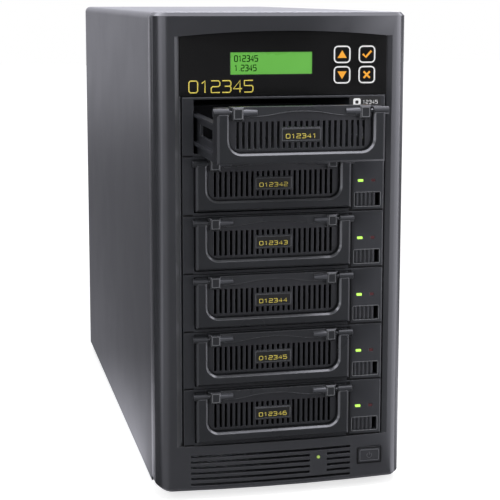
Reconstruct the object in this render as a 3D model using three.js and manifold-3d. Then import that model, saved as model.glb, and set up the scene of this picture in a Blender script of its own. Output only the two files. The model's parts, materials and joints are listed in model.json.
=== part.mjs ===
import * as THREE from "three";
import { mergeVertices } from "three/addons/utils/BufferGeometryUtils.js";
import Module from "manifold-3d";

// Hard drive duplicator: a tower with six sliding drive trays, a control panel with a display
// and four keys, a power supply and an exhaust fan.
// Millimetres, +Z up. The front faces -Y and the feet stand on z = 0.
// While the pieces are placed, y = 0 is the front plane of the drive racks.

// Fits and facets
const CLEARANCE = 0.3;
const OVERRUN = 1;
const ARC_STEPS = 3;
const COARSE_STEPS = 2;
const FINE_STEPS = 5;
const ARCH_STEPS = 10;
const ROUND_SIDES = 12;
const SMALL_SIDES = 6;
const BORE_SIDES = 20;

// Drive bays: the front of a 5.25 inch device
const BAY_COUNT = 6;
const BAY_PITCH = 42;
const BAY_SEAM = 0.4;

// Case
const SIDE_MARGIN = 19;
const FOOT_HEIGHT = 7;
const BASE_HEIGHT = 34;
const HEADER_HEIGHT = 16.5;
const SEAM_DEPTH = 30;
const SEAM_GAP = 0.6;
const COVER_DEPTH = 420;
const SHEET = 1.2;
const CASE_CORNER = 5;
const FLANGE_WIDTH = 12;

// Front bezel
const BEZEL_WALL = 3;
const BEZEL_SETBACK = 0.5;
const BEZEL_BOW = 4;
const COLUMN_ROUND_WIDTH = 11;
const COLUMN_ROUND_DEPTH = 23;
const BEZEL_LIP = 2.5;
const OPENING_GAP = 1.5;
const OPENING_BEVEL_WIDTH = 3.5;
const OPENING_BEVEL_DEPTH = 2;
const HEADER_ARCH = 3.7;
const VENT_COUNT = 6;
const VENT_HEIGHT = 1.9;
const VENT_DROP = 7.8;
const VENT_BOTTOM_INSET = 5.2;
const VENT_LEFT_INSET = 5.2;
const VENT_RIGHT_INSET = 23.6;
const VENT_BREAK = 13;
const POWER_LED_RADIUS = 1.2;
const POWER_LED_TIP_RADIUS = 0.8;
const POWER_LED_DOME = 0.7;
const POWER_LED_PROUD = 0.6;
const POWER_LED_LENGTH = 8;
const POWER_LED_RIGHT_INSET = 48.2;
const POWER_LED_DROP = 14;
const POWER_BUTTON_WIDTH = 18.8;
const POWER_BUTTON_HEIGHT = 12.4;
const POWER_BUTTON_DEPTH = 7;
const POWER_BUTTON_CORNER = 1;
const POWER_BUTTON_PROUD = 0.4;
const POWER_BUTTON_PAD_MARGIN = 1.8;
const POWER_BUTTON_PAD = 0.5;
const POWER_BUTTON_RIGHT_INSET = 8.8;
const POWER_BUTTON_DROP = 15.7;
const POWER_BUTTON_TRAVEL = 1.5;
const BUTTON_GUIDE_WALL = 1.6;
const BUTTON_GUIDE_DEPTH = 9;
const SWITCH_BOARD = 1.6;
const SWITCH_SIZE = 6;
const SWITCH_HEIGHT = 3;
const PLUNGER_RADIUS = 1.7;

// Control panel
const PANEL_HEIGHT = 42;
const PANEL_SETBACK = 1;
const PANEL_THICKNESS = 3;
const PANEL_TUCK = 6;
const DISPLAY_WIDTH = 59.5;
const DISPLAY_HEIGHT = 16;
const DISPLAY_RISE = 23;
const DISPLAY_RECESS = 0.5;
const DISPLAY_FRAME_SIDE = 5.5;
const DISPLAY_FRAME_EDGE = 4.5;
const DISPLAY_FRAME_DEPTH = 5;
const DISPLAY_BOARD_SIDE = 4;
const DISPLAY_BOARD_EDGE = 5.5;
const BOARD_THICKNESS = 1.6;
const KEY_SIZE = 13.2;
const KEY_CORNER = 3;
const KEY_PITCH_X = 18.4;
const KEY_PITCH_Z = 14.5;
const KEYS_RIGHT_INSET = 23.2;
const KEYS_RISE = 21.5;
const KEY_PROUD = 0.6;
const KEY_LIP = 1.2;
const KEY_TRAVEL = 0.8;
const KEY_BOARD_MARGIN = 4;
const KEY_BOARD_GAP = 1.5;

// Rack housing
const RACK_END_GAP = 6.5;
const RACK_SIDE_INSET = 1;
const RACK_FRONT = 3;
const RACK_FLOOR = 2.2;
const RACK_ROOF = 1.8;
const RACK_REAR = 3;
const RACK_WALL = 1.5;
const RACK_BODY_RELIEF = 0.4;
const CHANNEL_LEFT_INSET = 8;
const STRIP_WIDTH = 26.4;
const STRIP_BEVEL_WIDTH = 3;
const STRIP_BEVEL_DEPTH = 1.5;
const READY_LED_WIDTH = 4.6;
const ACTIVITY_LED_WIDTH = 3.2;
const STATUS_LED_HEIGHT = 2.4;
const STATUS_LED_POCKET = 1.5;
const READY_LED_RIGHT_INSET = 17.5;
const ACTIVITY_LED_RIGHT_INSET = 8;
const STATUS_LED_RISE = 22;
const LOCK_WINDOW_RIGHT_INSET = 2.9;
const LOCK_WINDOW_WIDTH = 19.1;
const LOCK_WINDOW_HEIGHT = 9.8;
const LOCK_WINDOW_RISE = 3.4;
const LOCK_TRAVEL = 3;
const LOCK_FLANGE = 0.9;
const LOCK_FLANGE_DEPTH = 1.5;
const LOCK_RIB_COUNT = 5;
const LOCK_RIB_DEPTH = 1.1;
const LOCK_RIB_SHARE = 0.45;

// Drive tray, measured inside one bay
const TRAY_PROUD = 8;
const TRAY_PULLED = 75;
const DRIVE_WIDTH = 101.6;
const DRIVE_LENGTH = 147;
const DRIVE_PLAY = 0.6;
const SLED_WALL = 2;
const SLED_FLOOR = 1.6;
const SLED_HEIGHT = 27.5;
const SLED_RAIL_REACH = 2.9;
const SLED_RAIL_GAP = 0.5;
const SLED_TOP_RAIL = 1.6;
const SLED_LOW_RAIL = 2.5;
const SLED_LOW_RAIL_RISE = 6;
const SLED_CONNECTOR_WIDTH = 44;
const SLED_CONNECTOR_HEIGHT = 9;
const SLED_CONNECTOR_RISE = 4;
const SLED_CONNECTOR_LENGTH = 8;
const SLED_WINDOW_COUNT = 2;
const SLED_WINDOW_LENGTH = 44;
const SLED_WINDOW_HEIGHT = 8;

// Tray handle
const TRAY_SIDE_GAP = 0.4;
const HANDLE_BOTTOM_RISE = 4.2;
const HANDLE_TOP_GAP = 0.8;
const HANDLE_THICKNESS = 5.4;
const HANDLE_PILLAR = 8;
const HANDLE_BAR = 7;
const HANDLE_CORNER = 8;
const HANDLE_BEVEL = 1.4;
const HANDLE_PIVOT_DROP = 3.6;
const HANDLE_EAR_RADIUS = 2.6;
const HANDLE_EAR_OVERHANG = 2.4;
const HINGE_PIN_RADIUS = 1.3;
const HINGE_PIN_REACH = 7;

// Tray front
const FRONT_BACK = 16;
const FRONT_WALL = 2.5;
const FRONT_SIDE_RELIEF = 0.2;
const FRONT_BLOCK_DROP = 2;
const GRILLE_RECESS = 4.4;
const GRILLE_MARGIN = 0.8;
const HOOD_RECESS = 3.2;
const HOOD_HEIGHT = 7;
const HOOD_RISE = 3.2;
const HOOD_WAVE_WIDTH = 72;
const LUG_WIDTH = 7.6;
const LUG_HEIGHT = 8.8;
const LUG_BEVEL = 1;
const LUG_GAP = 2;
const LUG_RECESS = 0.4;
const BARREL_LENGTH = 9;
const BARREL_RADIUS = 2.4;
const BARREL_END_RADIUS = 1.6;
const SLOT_SIDE_MARGIN = 5.1;
const SLOT_WIDTH = 1.9;
const SIDE_SLOTS = 8;
const MIDDLE_SLOTS = 7;
const SLOT_BOTTOM = 13.8;
const SLOT_HEIGHT = 17.6;
const SHORT_SLOT_HEIGHT = 3.8;
const LABEL_PROUD = 0.4;
const LABEL_MARGIN = 0.5;

// Bay cage and boards
const CAGE_FLANGE = 14;
const CAGE_FRONT = 6;
const BACKPLANE_WIDTH = 80;
const BACKPLANE_CONNECTOR_GAP = 0.5;
const CONTROL_BOARD_WIDTH = 130;
const CONTROL_BOARD_LENGTH = 125;
const CONTROL_BOARD_FRONT = 40;
const STANDOFF_HEIGHT = 4;
const STANDOFF_RADIUS = 2.5;
const CHIP_SIZE = 28;
const CHIP_HEIGHT = 2.4;
const CHIP_GAP = 11;
const HEATSINK_SIZE = 34;
const HEATSINK_FIN = 1.5;
const HEATSINK_HEIGHT = 12;
const HEATSINK_FINS = 6;
const PORT_WIDTH = 8;
const PORT_DEPTH = 14;
const PORT_HEIGHT = 8.5;
const PORT_PITCH = 16;
const PORT_COUNT = 7;

// Power supply
const PSU_DEPTH = 140;
const PSU_SHEET = 1;
const PSU_TOP_GAP = 12;
const PSU_FRAME_MARGIN = 4;
const PSU_FAN_SIZE = 80;
const PSU_FAN_INSET = 5;
const PSU_FAN_EDGE = 3;
const PSU_INLET_GAP = 20.1;
const PSU_INLET_INSET = 13.1;
const PSU_VENT_COUNT = 6;
const PSU_VENT_WIDTH = 6;
const PSU_VENT_HEIGHT = 50;
const PSU_VENT_PITCH = 20;
const PSU_GRILLE_SLOTS = 9;
const PSU_GRILLE_BAR = 3;
const PSU_BOARD_MARGIN = 8;
const PSU_BOARD_RISE = 5;
const TRANSFORMER_WIDTH = 40;
const TRANSFORMER_LENGTH = 34;
const TRANSFORMER_HEIGHT = 32;
const CAPACITOR_RADIUS = 11;
const CAPACITOR_HEIGHT = 40;
const PSU_SINK_THICKNESS = 3;
const PSU_SINK_LENGTH = 80;
const PSU_SINK_HEIGHT = 48;
const INLET_RISE = 22;
const INLET_WIDTH = 27;
const INLET_HEIGHT = 20;
const INLET_DEPTH = 20;
const INLET_WALL = 1.8;
const INLET_FLANGE = 2.4;
const INLET_FLANGE_THICKNESS = 1.7;
const INLET_PIN_LENGTH = 11;
const INLET_PIN_WIDTH = 2;
const INLET_PIN_HEIGHT = 4;
const INLET_PIN_SPACING = 7;
const INLET_PIN_SHARES = [[-1, -0.25], [0, 0.25], [1, -0.25]];
const ROCKER_DROP = 26;
const ROCKER_WIDTH = 13;
const ROCKER_HEIGHT = 20;
const ROCKER_DEPTH = 9;
const ROCKER_CROWN = 2;
const ROCKER_THROW = 12;
const ROCKER_GAP = 0.9;

// Fans
const FAN_DEPTH = 25;
const FAN_RIM = 3;
const FAN_CORNER = 4;
const FAN_TIP_GAP = 1.2;
const FAN_BOSS_RADIUS = 15;
const FAN_BOSS_DEPTH = 4;
const FAN_STRUTS = 4;
const FAN_STRUT_WIDTH = 4;
const FAN_HUB_RADIUS = 16;
const FAN_HUB_DEPTH = 17;
const FAN_BLADES = 7;
const FAN_ROOT_CHORD = 16;
const FAN_TIP_CHORD = 20;
const FAN_BLADE_STATIONS = 3;
const FAN_BLADE_THICKNESS = 1.6;
const FAN_ROOT_PITCH = 48;
const FAN_TIP_PITCH = 30;
const FAN_SHAFT_RADIUS = 2;
const FAN_SHAFT_LENGTH = 3.4;
const FAN_SCREW_RADIUS = 2.1;
const FAN_SCREW_INSET = 5;
const EXHAUST_SIZE = 92;
const EXHAUST_RISE = 150;
const WIRE = 2;
const GUARD_RINGS = 3;
const GUARD_RING_SIDES = 16;
const GUARD_EYE_RADIUS = 3.6;

// Rear panel, screws and feet
const REAR_VENT_ROWS = 5;
const REAR_VENT_COLUMNS = 2;
const REAR_VENT_WIDTH = 60;
const REAR_VENT_HEIGHT = 4;
const REAR_VENT_PITCH_X = 70;
const REAR_VENT_PITCH_Z = 10;
const REAR_VENT_RISE = 26;
const SCREW_RADIUS = 1.8;
const SCREW_HEIGHT_SHARES = [0.12, 0.5, 0.88];
const FLOOR_LIP = 12;
const FOOT_RADIUS = 9;
const FOOT_TAPER = 1;
const FOOT_INSET = 16;
const FOOT_FRONT_INSET = 34;
const FOOT_PLACES = {
  foot_front_left: [-1, -1],
  foot_front_right: [1, -1],
  foot_rear_left: [-1, 1],
  foot_rear_right: [1, 1],
};

// Places worked out from the sizes above
const SLED_IN = DRIVE_WIDTH / 2 + DRIVE_PLAY;
const SLED_OUT = SLED_IN + SLED_WALL;
const RAIL_OUT = SLED_OUT + SLED_RAIL_REACH;
const SLED_FRONT = FRONT_BACK - TRAY_PROUD + CLEARANCE;
const SLED_REAR = SLED_FRONT + DRIVE_LENGTH + 2 * DRIVE_PLAY + SLED_WALL;
const SLED_END = SLED_REAR + SLED_CONNECTOR_LENGTH;
const RACK_INNER_REAR = SLED_END + RACK_END_GAP;
const RACK_DEPTH = RACK_INNER_REAR + RACK_REAR;
const CHANNEL_WIDTH = 2 * (RAIL_OUT + SLED_RAIL_GAP);
const BAY_WIDTH = CHANNEL_LEFT_INSET + CHANNEL_WIDTH + STRIP_WIDTH;
const CASE_WIDTH = BAY_WIDTH + 2 * SIDE_MARGIN;
const HALF = CASE_WIDTH / 2;
const BAY_HALF = BAY_WIDTH / 2;
const BASE_Z = FOOT_HEIGHT;
const BAYS_Z = BASE_Z + BASE_HEIGHT;
const PANEL_Z = BAYS_Z + BAY_COUNT * BAY_PITCH;
const HEADER_Z = PANEL_Z + PANEL_HEIGHT;
const TOP_Z = HEADER_Z + HEADER_HEIGHT;
const REAR_Y = SEAM_DEPTH + COVER_DEPTH;
const OPENING_HALF = BAY_HALF + OPENING_GAP;
const COLUMN_X = HALF - COLUMN_ROUND_WIDTH;
const CORE_HALF = HALF - SHEET - CLEARANCE;
const CORE_CORNER = CASE_CORNER - SHEET - CLEARANCE;
const CORE_TOP = TOP_Z - SHEET - CLEARANCE;
const PANEL_FRONT_Y = SEAM_DEPTH + CLEARANCE;
const REAR_PANEL_Y = REAR_Y - SHEET - CLEARANCE;
const BEZEL_FRONT_Y = BEZEL_SETBACK - BEZEL_BOW;
const CAGE_IN = BAY_HALF;
const CAGE_OUT = CAGE_IN + SHEET;
const TRAY_X = -BAY_HALF + CHANNEL_LEFT_INSET + CHANNEL_WIDTH / 2;
const PIVOT_Y = -TRAY_PROUD + HANDLE_EAR_RADIUS + CLEARANCE;
const HANDLE_TOP = BAY_PITCH - HANDLE_TOP_GAP;
const PIVOT_Z = HANDLE_TOP - HANDLE_PIVOT_DROP;
const PSU_TOP = TOP_Z - PSU_TOP_GAP;
const PSU_BOTTOM = PSU_TOP - PSU_FAN_SIZE - 2 * PSU_FAN_EDGE;
const INLET_OUT = INLET_WIDTH / 2 + INLET_FLANGE;
const PSU_WIDTH = PSU_FAN_INSET + PSU_FAN_SIZE + PSU_INLET_GAP + 2 * INLET_OUT + PSU_INLET_INSET;
const PSU_REAR = REAR_PANEL_Y - SHEET - CLEARANCE;
const EXHAUST_Z = BASE_Z + EXHAUST_RISE;
const GUARD_FRONT = REAR_PANEL_Y + CLEARANCE;
const SPOKE_Y = GUARD_FRONT + WIRE;
const REAR_MOST = SPOKE_Y + WIRE / 2;
const FRONT_MOST = -TRAY_PROUD - TRAY_PULLED + CLEARANCE;

const wasm = await Module();
wasm.setup();

// Materials

function finish(color, roughness, metalness = 0) {
  return new THREE.MeshStandardMaterial({ color, roughness, metalness });
}

const coverPaint = finish(0x3d3f44, 0.5, 0.3);
const innerSteel = finish(0x9a9c9e, 0.4, 0.8);
const bezelPlastic = finish(0x38393c, 0.5);
const rackPlastic = finish(0x2f3033, 0.5);
const trayPlastic = finish(0x333438, 0.45);
const handlePlastic = finish(0x3b3c40, 0.42);
const glossBlack = finish(0x0d0d0e, 0.12);
const displayGreen = finish(0x67b44b, 0.35);
const lampGreen = finish(0xb8e05a, 0.3);
const boardGreen = finish(0x1f5a38, 0.55);
const fanBlack = finish(0x17181a, 0.5);
const wireSteel = finish(0xb6b8ba, 0.25, 0.9);
const rubber = finish(0x1a1a1a, 0.85);

// Solids: three.js geometry in, manifold joins and cuts, three.js geometry out

function solid(geometry) {
  geometry.deleteAttribute("normal");
  geometry.deleteAttribute("uv");
  const merged = mergeVertices(geometry);
  return new wasm.Manifold(new wasm.Mesh({
    numProp: 3,
    vertProperties: new Float32Array(merged.attributes.position.array),
    triVerts: new Uint32Array(merged.index.array),
  }));
}

function mesh(name, body, material) {
  const faces = body.getMesh();
  const geometry = new THREE.BufferGeometry();
  geometry.setAttribute("position", new THREE.BufferAttribute(faces.vertProperties, faces.numProp));
  geometry.setIndex(new THREE.BufferAttribute(faces.triVerts, 1));
  geometry.computeVertexNormals();
  const piece = new THREE.Mesh(geometry, material);
  piece.name = name;
  return piece;
}

function union(...bodies) {
  return bodies.reduce((whole, body) => whole.add(body));
}

function box(x0, x1, y0, y1, z0, z1) {
  const geometry = new THREE.BoxGeometry(x1 - x0, y1 - y0, z1 - z0);
  geometry.translate((x0 + x1) / 2, (y0 + y1) / 2, (z0 + z1) / 2);
  return solid(geometry);
}

// A box about a centre line x, from y0 to y1
function centredBox(x, width, y0, y1, z, height) {
  return box(x - width / 2, x + width / 2, y0, y1, z - height / 2, z + height / 2);
}

function extrusion(shape, depth, bevel, steps) {
  const geometry = new THREE.ExtrudeGeometry(shape, {
    depth: depth - 2 * bevel,
    curveSegments: steps,
    bevelEnabled: bevel > 0,
    bevelThickness: bevel,
    bevelSize: bevel,
    bevelOffset: -bevel,
    bevelSegments: 1,
  });
  geometry.translate(0, 0, bevel);
  return geometry;
}

// Shape drawn in x and z, extruded from y0 to y1
function slabY(shape, y0, y1, bevel = 0, steps = ARC_STEPS) {
  const geometry = extrusion(shape, y1 - y0, bevel, steps);
  geometry.rotateX(Math.PI / 2);
  geometry.translate(0, y1, 0);
  return solid(geometry);
}

// Shape drawn in x and y, extruded from z0 to z1
function slabZ(shape, z0, z1, bevel = 0, steps = ARC_STEPS) {
  const geometry = extrusion(shape, z1 - z0, bevel, steps);
  geometry.translate(0, 0, z0);
  return solid(geometry);
}

// Shape drawn in y and z, extruded from x0 to x1
function slabX(shape, x0, x1) {
  const geometry = extrusion(shape, x1 - x0, 0, ARC_STEPS);
  const turn = new THREE.Matrix4().makeBasis(
    new THREE.Vector3(0, 1, 0), new THREE.Vector3(0, 0, 1), new THREE.Vector3(1, 0, 0),
  );
  geometry.applyMatrix4(turn);
  geometry.translate(x0, 0, 0);
  return solid(geometry);
}

function rodX(radius, x0, x1, y, z, endRadius = radius, sides = ROUND_SIDES) {
  const geometry = new THREE.CylinderGeometry(endRadius, radius, x1 - x0, sides);
  geometry.rotateZ(-Math.PI / 2);
  geometry.translate((x0 + x1) / 2, y, z);
  return solid(geometry);
}

function rodY(radius, y0, y1, x, z, endRadius = radius, sides = ROUND_SIDES) {
  const geometry = new THREE.CylinderGeometry(endRadius, radius, y1 - y0, sides);
  geometry.translate(x, (y0 + y1) / 2, z);
  return solid(geometry);
}

function smallRodY(radius, y0, y1, x, z) {
  return rodY(radius, y0, y1, x, z, radius, SMALL_SIDES);
}

function rodZ(radius, z0, z1, x, y, endRadius = radius, sides = ROUND_SIDES) {
  const geometry = new THREE.CylinderGeometry(endRadius, radius, z1 - z0, sides);
  geometry.rotateX(Math.PI / 2);
  geometry.translate(x, y, (z0 + z1) / 2);
  return solid(geometry);
}

function outline(points) {
  const shape = new THREE.Shape();
  points.forEach(([u, v], index) => (index ? shape.lineTo(u, v) : shape.moveTo(u, v)));
  shape.closePath();
  return shape;
}

function roundedRectangle(u0, u1, v0, v1, radius, lowRadius = radius) {
  const shape = new THREE.Shape();
  shape.moveTo(u0 + lowRadius, v0);
  shape.lineTo(u1 - lowRadius, v0);
  if (lowRadius > 0) shape.absarc(u1 - lowRadius, v0 + lowRadius, lowRadius, -Math.PI / 2, 0);
  shape.lineTo(u1, v1 - radius);
  if (radius > 0) shape.absarc(u1 - radius, v1 - radius, radius, 0, Math.PI / 2);
  shape.lineTo(u0 + radius, v1);
  if (radius > 0) shape.absarc(u0 + radius, v1 - radius, radius, Math.PI / 2, Math.PI);
  shape.lineTo(u0, v0 + lowRadius);
  if (lowRadius > 0) shape.absarc(u0 + lowRadius, v0 + lowRadius, lowRadius, Math.PI, 1.5 * Math.PI);
  return shape;
}

// Front bezel

function bezelFaceY(x) {
  return BEZEL_SETBACK - BEZEL_BOW * (1 - (x / COLUMN_X) ** 2);
}

// Plan of the bezel: a bowed face between two elliptical columns, set in by one wall when hollow
function bezelPlan(inset, back) {
  const roundWidth = COLUMN_ROUND_WIDTH - inset;
  const roundDepth = COLUMN_ROUND_DEPTH - inset;
  const face = BEZEL_SETBACK + inset;
  const centreY = BEZEL_SETBACK + COLUMN_ROUND_DEPTH;
  const shape = new THREE.Shape();
  shape.moveTo(-COLUMN_X - roundWidth, back);
  shape.lineTo(-COLUMN_X - roundWidth, centreY);
  shape.absellipse(-COLUMN_X, centreY, roundWidth, roundDepth, Math.PI, 1.5 * Math.PI);
  shape.quadraticCurveTo(0, face - 2 * BEZEL_BOW, COLUMN_X, face);
  shape.absellipse(COLUMN_X, centreY, roundWidth, roundDepth, 1.5 * Math.PI, 2 * Math.PI);
  shape.lineTo(COLUMN_X + roundWidth, back);
  return shape;
}

// The opening for the bays and the panel, with its arched upper edge
function openingShape(bottom, margin) {
  const half = OPENING_HALF - margin;
  const top = HEADER_Z - margin;
  const shape = new THREE.Shape();
  shape.moveTo(-half, bottom);
  shape.lineTo(half, bottom);
  shape.lineTo(half, top);
  shape.quadraticCurveTo(0, top + 2 * HEADER_ARCH, -half, top);
  return shape;
}

// Plan of the slanted inner edge that runs up both sides of the opening
function openingBevelPlan(side) {
  const wide = OPENING_HALF + OPENING_BEVEL_WIDTH;
  const front = BEZEL_FRONT_Y - OVERRUN;
  return outline([
    [side * (OPENING_HALF - OVERRUN), front],
    [side * wide, front],
    [side * wide, bezelFaceY(wide)],
    [side * OPENING_HALF, bezelFaceY(wide) + OPENING_BEVEL_DEPTH],
    [side * (OPENING_HALF - OVERRUN), bezelFaceY(wide) + OPENING_BEVEL_DEPTH],
  ]);
}

const POWER_LED_X = BAY_HALF - POWER_LED_RIGHT_INSET;
const POWER_LED_Z = BAYS_Z - POWER_LED_DROP;
const POWER_BUTTON_X = BAY_HALF - POWER_BUTTON_RIGHT_INSET;
const POWER_BUTTON_Z = BAYS_Z - POWER_BUTTON_DROP;
const POWER_BUTTON_FRONT = bezelFaceY(POWER_BUTTON_X) - POWER_BUTTON_PROUD;
const GUIDE_BACK = POWER_BUTTON_FRONT + BUTTON_GUIDE_DEPTH;

function lowerVents() {
  const left = -BAY_HALF + VENT_LEFT_INSET;
  const right = BAY_HALF - VENT_RIGHT_INSET;
  const front = BEZEL_FRONT_Y - OVERRUN;
  const pitch = (BASE_HEIGHT - VENT_DROP - VENT_BOTTOM_INSET) / (VENT_COUNT - 1);
  const cuts = [];
  for (let row = 0; row < VENT_COUNT; row += 1) {
    const z = BAYS_Z - VENT_DROP - row * pitch;
    const whole = row === 0 || row === VENT_COUNT - 1;
    const spans = whole
      ? [[left, right]]
      : [[left, POWER_LED_X - VENT_BREAK / 2], [POWER_LED_X + VENT_BREAK / 2, right]];
    for (const [x0, x1] of spans) {
      cuts.push(box(x0, x1, front, SEAM_DEPTH, z - VENT_HEIGHT / 2, z + VENT_HEIGHT / 2));
    }
  }
  return union(...cuts);
}

function buttonShape(margin) {
  const halfWidth = POWER_BUTTON_WIDTH / 2 + margin;
  const halfHeight = POWER_BUTTON_HEIGHT / 2 + margin;
  return roundedRectangle(
    POWER_BUTTON_X - halfWidth, POWER_BUTTON_X + halfWidth,
    POWER_BUTTON_Z - halfHeight, POWER_BUTTON_Z + halfHeight, POWER_BUTTON_CORNER,
  );
}

function frontBezel() {
  const back = SEAM_DEPTH - SEAM_GAP;
  const front = BEZEL_FRONT_Y - OVERRUN;
  const outer = slabZ(bezelPlan(0, back + BEZEL_LIP + OVERRUN), BASE_Z, TOP_Z, BEZEL_LIP, FINE_STEPS)
    .intersect(slabY(roundedRectangle(-HALF, HALF, BASE_Z, TOP_Z, CASE_CORNER), front, back));
  const hollow = slabZ(
    bezelPlan(BEZEL_WALL, back + OVERRUN), BASE_Z + BEZEL_WALL, TOP_Z - BEZEL_WALL, 0, FINE_STEPS,
  );
  const guide = slabY(
    buttonShape(CLEARANCE + BUTTON_GUIDE_WALL), POWER_BUTTON_FRONT + BEZEL_WALL / 2, GUIDE_BACK,
  );
  const bevels = union(
    slabZ(openingBevelPlan(-1), BAYS_Z, HEADER_Z),
    slabZ(openingBevelPlan(1), BAYS_Z, HEADER_Z),
  );
  return outer
    .subtract(hollow)
    .subtract(slabY(openingShape(BAYS_Z, 0), front, back, 0, ARCH_STEPS))
    .subtract(bevels)
    .subtract(lowerVents())
    .add(guide)
    .subtract(slabY(buttonShape(CLEARANCE), front, back))
    .subtract(rodY(POWER_LED_RADIUS + CLEARANCE, front, back, POWER_LED_X, POWER_LED_Z));
}

function powerButton() {
  const back = POWER_BUTTON_FRONT + POWER_BUTTON_DEPTH;
  return slabY(buttonShape(0), POWER_BUTTON_FRONT, back)
    .add(slabY(
      buttonShape(-POWER_BUTTON_PAD_MARGIN),
      POWER_BUTTON_FRONT - POWER_BUTTON_PAD, POWER_BUTTON_FRONT + POWER_BUTTON_PAD,
    ));
}

// The button's switch: a board that closes the guide's back, with the switch inside the guide
function powerSwitch() {
  const board = GUIDE_BACK + CLEARANCE;
  const tip = POWER_BUTTON_FRONT + POWER_BUTTON_DEPTH + POWER_BUTTON_TRAVEL + CLEARANCE;
  const edge = CLEARANCE + BUTTON_GUIDE_WALL;
  const plate = slabY(buttonShape(edge), board, board + SWITCH_BOARD);
  return plate.add(smallRodY(
    PLUNGER_RADIUS, tip, board + SWITCH_BOARD / 2, POWER_BUTTON_X, POWER_BUTTON_Z,
  ));
}

// Lamp with a domed lens at the front
function powerLed() {
  const front = bezelFaceY(POWER_LED_X) - POWER_LED_PROUD;
  const dome = front + POWER_LED_DOME;
  return rodY(POWER_LED_TIP_RADIUS, front, dome, POWER_LED_X, POWER_LED_Z, POWER_LED_RADIUS)
    .add(rodY(POWER_LED_RADIUS, dome, front + POWER_LED_LENGTH, POWER_LED_X, POWER_LED_Z));
}

// Control panel

const PANEL_BACK = PANEL_SETBACK + PANEL_THICKNESS;
const KEY_BACK = PANEL_BACK + KEY_LIP + CLEARANCE;
const KEYS_X = BAY_HALF - KEYS_RIGHT_INSET;
const KEYS_Z = PANEL_Z + KEYS_RISE;
const KEY_BOARD_WIDTH = KEY_PITCH_X + KEY_SIZE + 2 * KEY_BOARD_MARGIN;
const KEY_BOARD_HEIGHT = KEY_PITCH_Z + KEY_SIZE + 2 * KEY_BOARD_MARGIN;
const DISPLAY_FRAME_WIDTH = DISPLAY_WIDTH + 2 * DISPLAY_FRAME_SIDE;
const DISPLAY_FRAME_HEIGHT = DISPLAY_HEIGHT + 2 * DISPLAY_FRAME_EDGE;
const DISPLAY_BOARD_WIDTH = DISPLAY_FRAME_WIDTH + 2 * DISPLAY_BOARD_SIDE;
const DISPLAY_BOARD_HEIGHT = DISPLAY_FRAME_HEIGHT + 2 * DISPLAY_BOARD_EDGE;
const DISPLAY_X = KEYS_X - KEY_BOARD_WIDTH / 2 - KEY_BOARD_GAP - DISPLAY_BOARD_WIDTH / 2;
const DISPLAY_Z = PANEL_Z + DISPLAY_RISE;
const KEY_PLACES = {
  key_up: [-1, 1],
  key_enter: [1, 1],
  key_down: [-1, -1],
  key_back: [1, -1],
};

function keyCentre([column, row]) {
  return [KEYS_X + column * KEY_PITCH_X / 2, KEYS_Z + row * KEY_PITCH_Z / 2];
}

function keyShape(place, margin) {
  const [x, z] = keyCentre(place);
  const half = KEY_SIZE / 2 + margin;
  return roundedRectangle(x - half, x + half, z - half, z + half, KEY_CORNER + margin);
}

function controlPanel() {
  const half = OPENING_HALF - CLEARANCE;
  const tuck = BEZEL_SETBACK + BEZEL_WALL + CLEARANCE;
  let plate = slabY(
    openingShape(PANEL_Z + CLEARANCE, CLEARANCE), PANEL_SETBACK, PANEL_BACK, 0, ARCH_STEPS,
  ).add(box(-half, half, tuck, tuck + SHEET, HEADER_Z - SHEET, HEADER_Z + PANEL_TUCK));
  plate = plate.subtract(centredBox(
    DISPLAY_X, DISPLAY_WIDTH, 0, PANEL_BACK + OVERRUN, DISPLAY_Z, DISPLAY_HEIGHT,
  ));
  for (const place of Object.values(KEY_PLACES)) {
    plate = plate.subtract(
      slabY(keyShape(place, CLEARANCE), 0, PANEL_BACK + OVERRUN, 0, COARSE_STEPS),
    );
  }
  return plate;
}

function displayModule() {
  const glassFront = PANEL_SETBACK + DISPLAY_RECESS;
  const frameFront = PANEL_BACK + CLEARANCE;
  const board = frameFront + DISPLAY_FRAME_DEPTH;
  return union(
    centredBox(
      DISPLAY_X, DISPLAY_WIDTH - 2 * CLEARANCE, glassFront, board,
      DISPLAY_Z, DISPLAY_HEIGHT - 2 * CLEARANCE,
    ),
    centredBox(DISPLAY_X, DISPLAY_FRAME_WIDTH, frameFront, board, DISPLAY_Z, DISPLAY_FRAME_HEIGHT),
    centredBox(
      DISPLAY_X, DISPLAY_BOARD_WIDTH, board, board + BOARD_THICKNESS,
      DISPLAY_Z, DISPLAY_BOARD_HEIGHT,
    ),
  );
}

// A key cap with a lip on each side that stops it behind the panel
function key(place) {
  const [x, z] = keyCentre(place);
  return slabY(keyShape(place, 0), PANEL_SETBACK - KEY_PROUD, KEY_BACK, 0, COARSE_STEPS)
    .add(centredBox(x, KEY_SIZE + 2 * KEY_LIP, PANEL_BACK + CLEARANCE, KEY_BACK, z, KEY_SIZE / 2));
}

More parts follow.
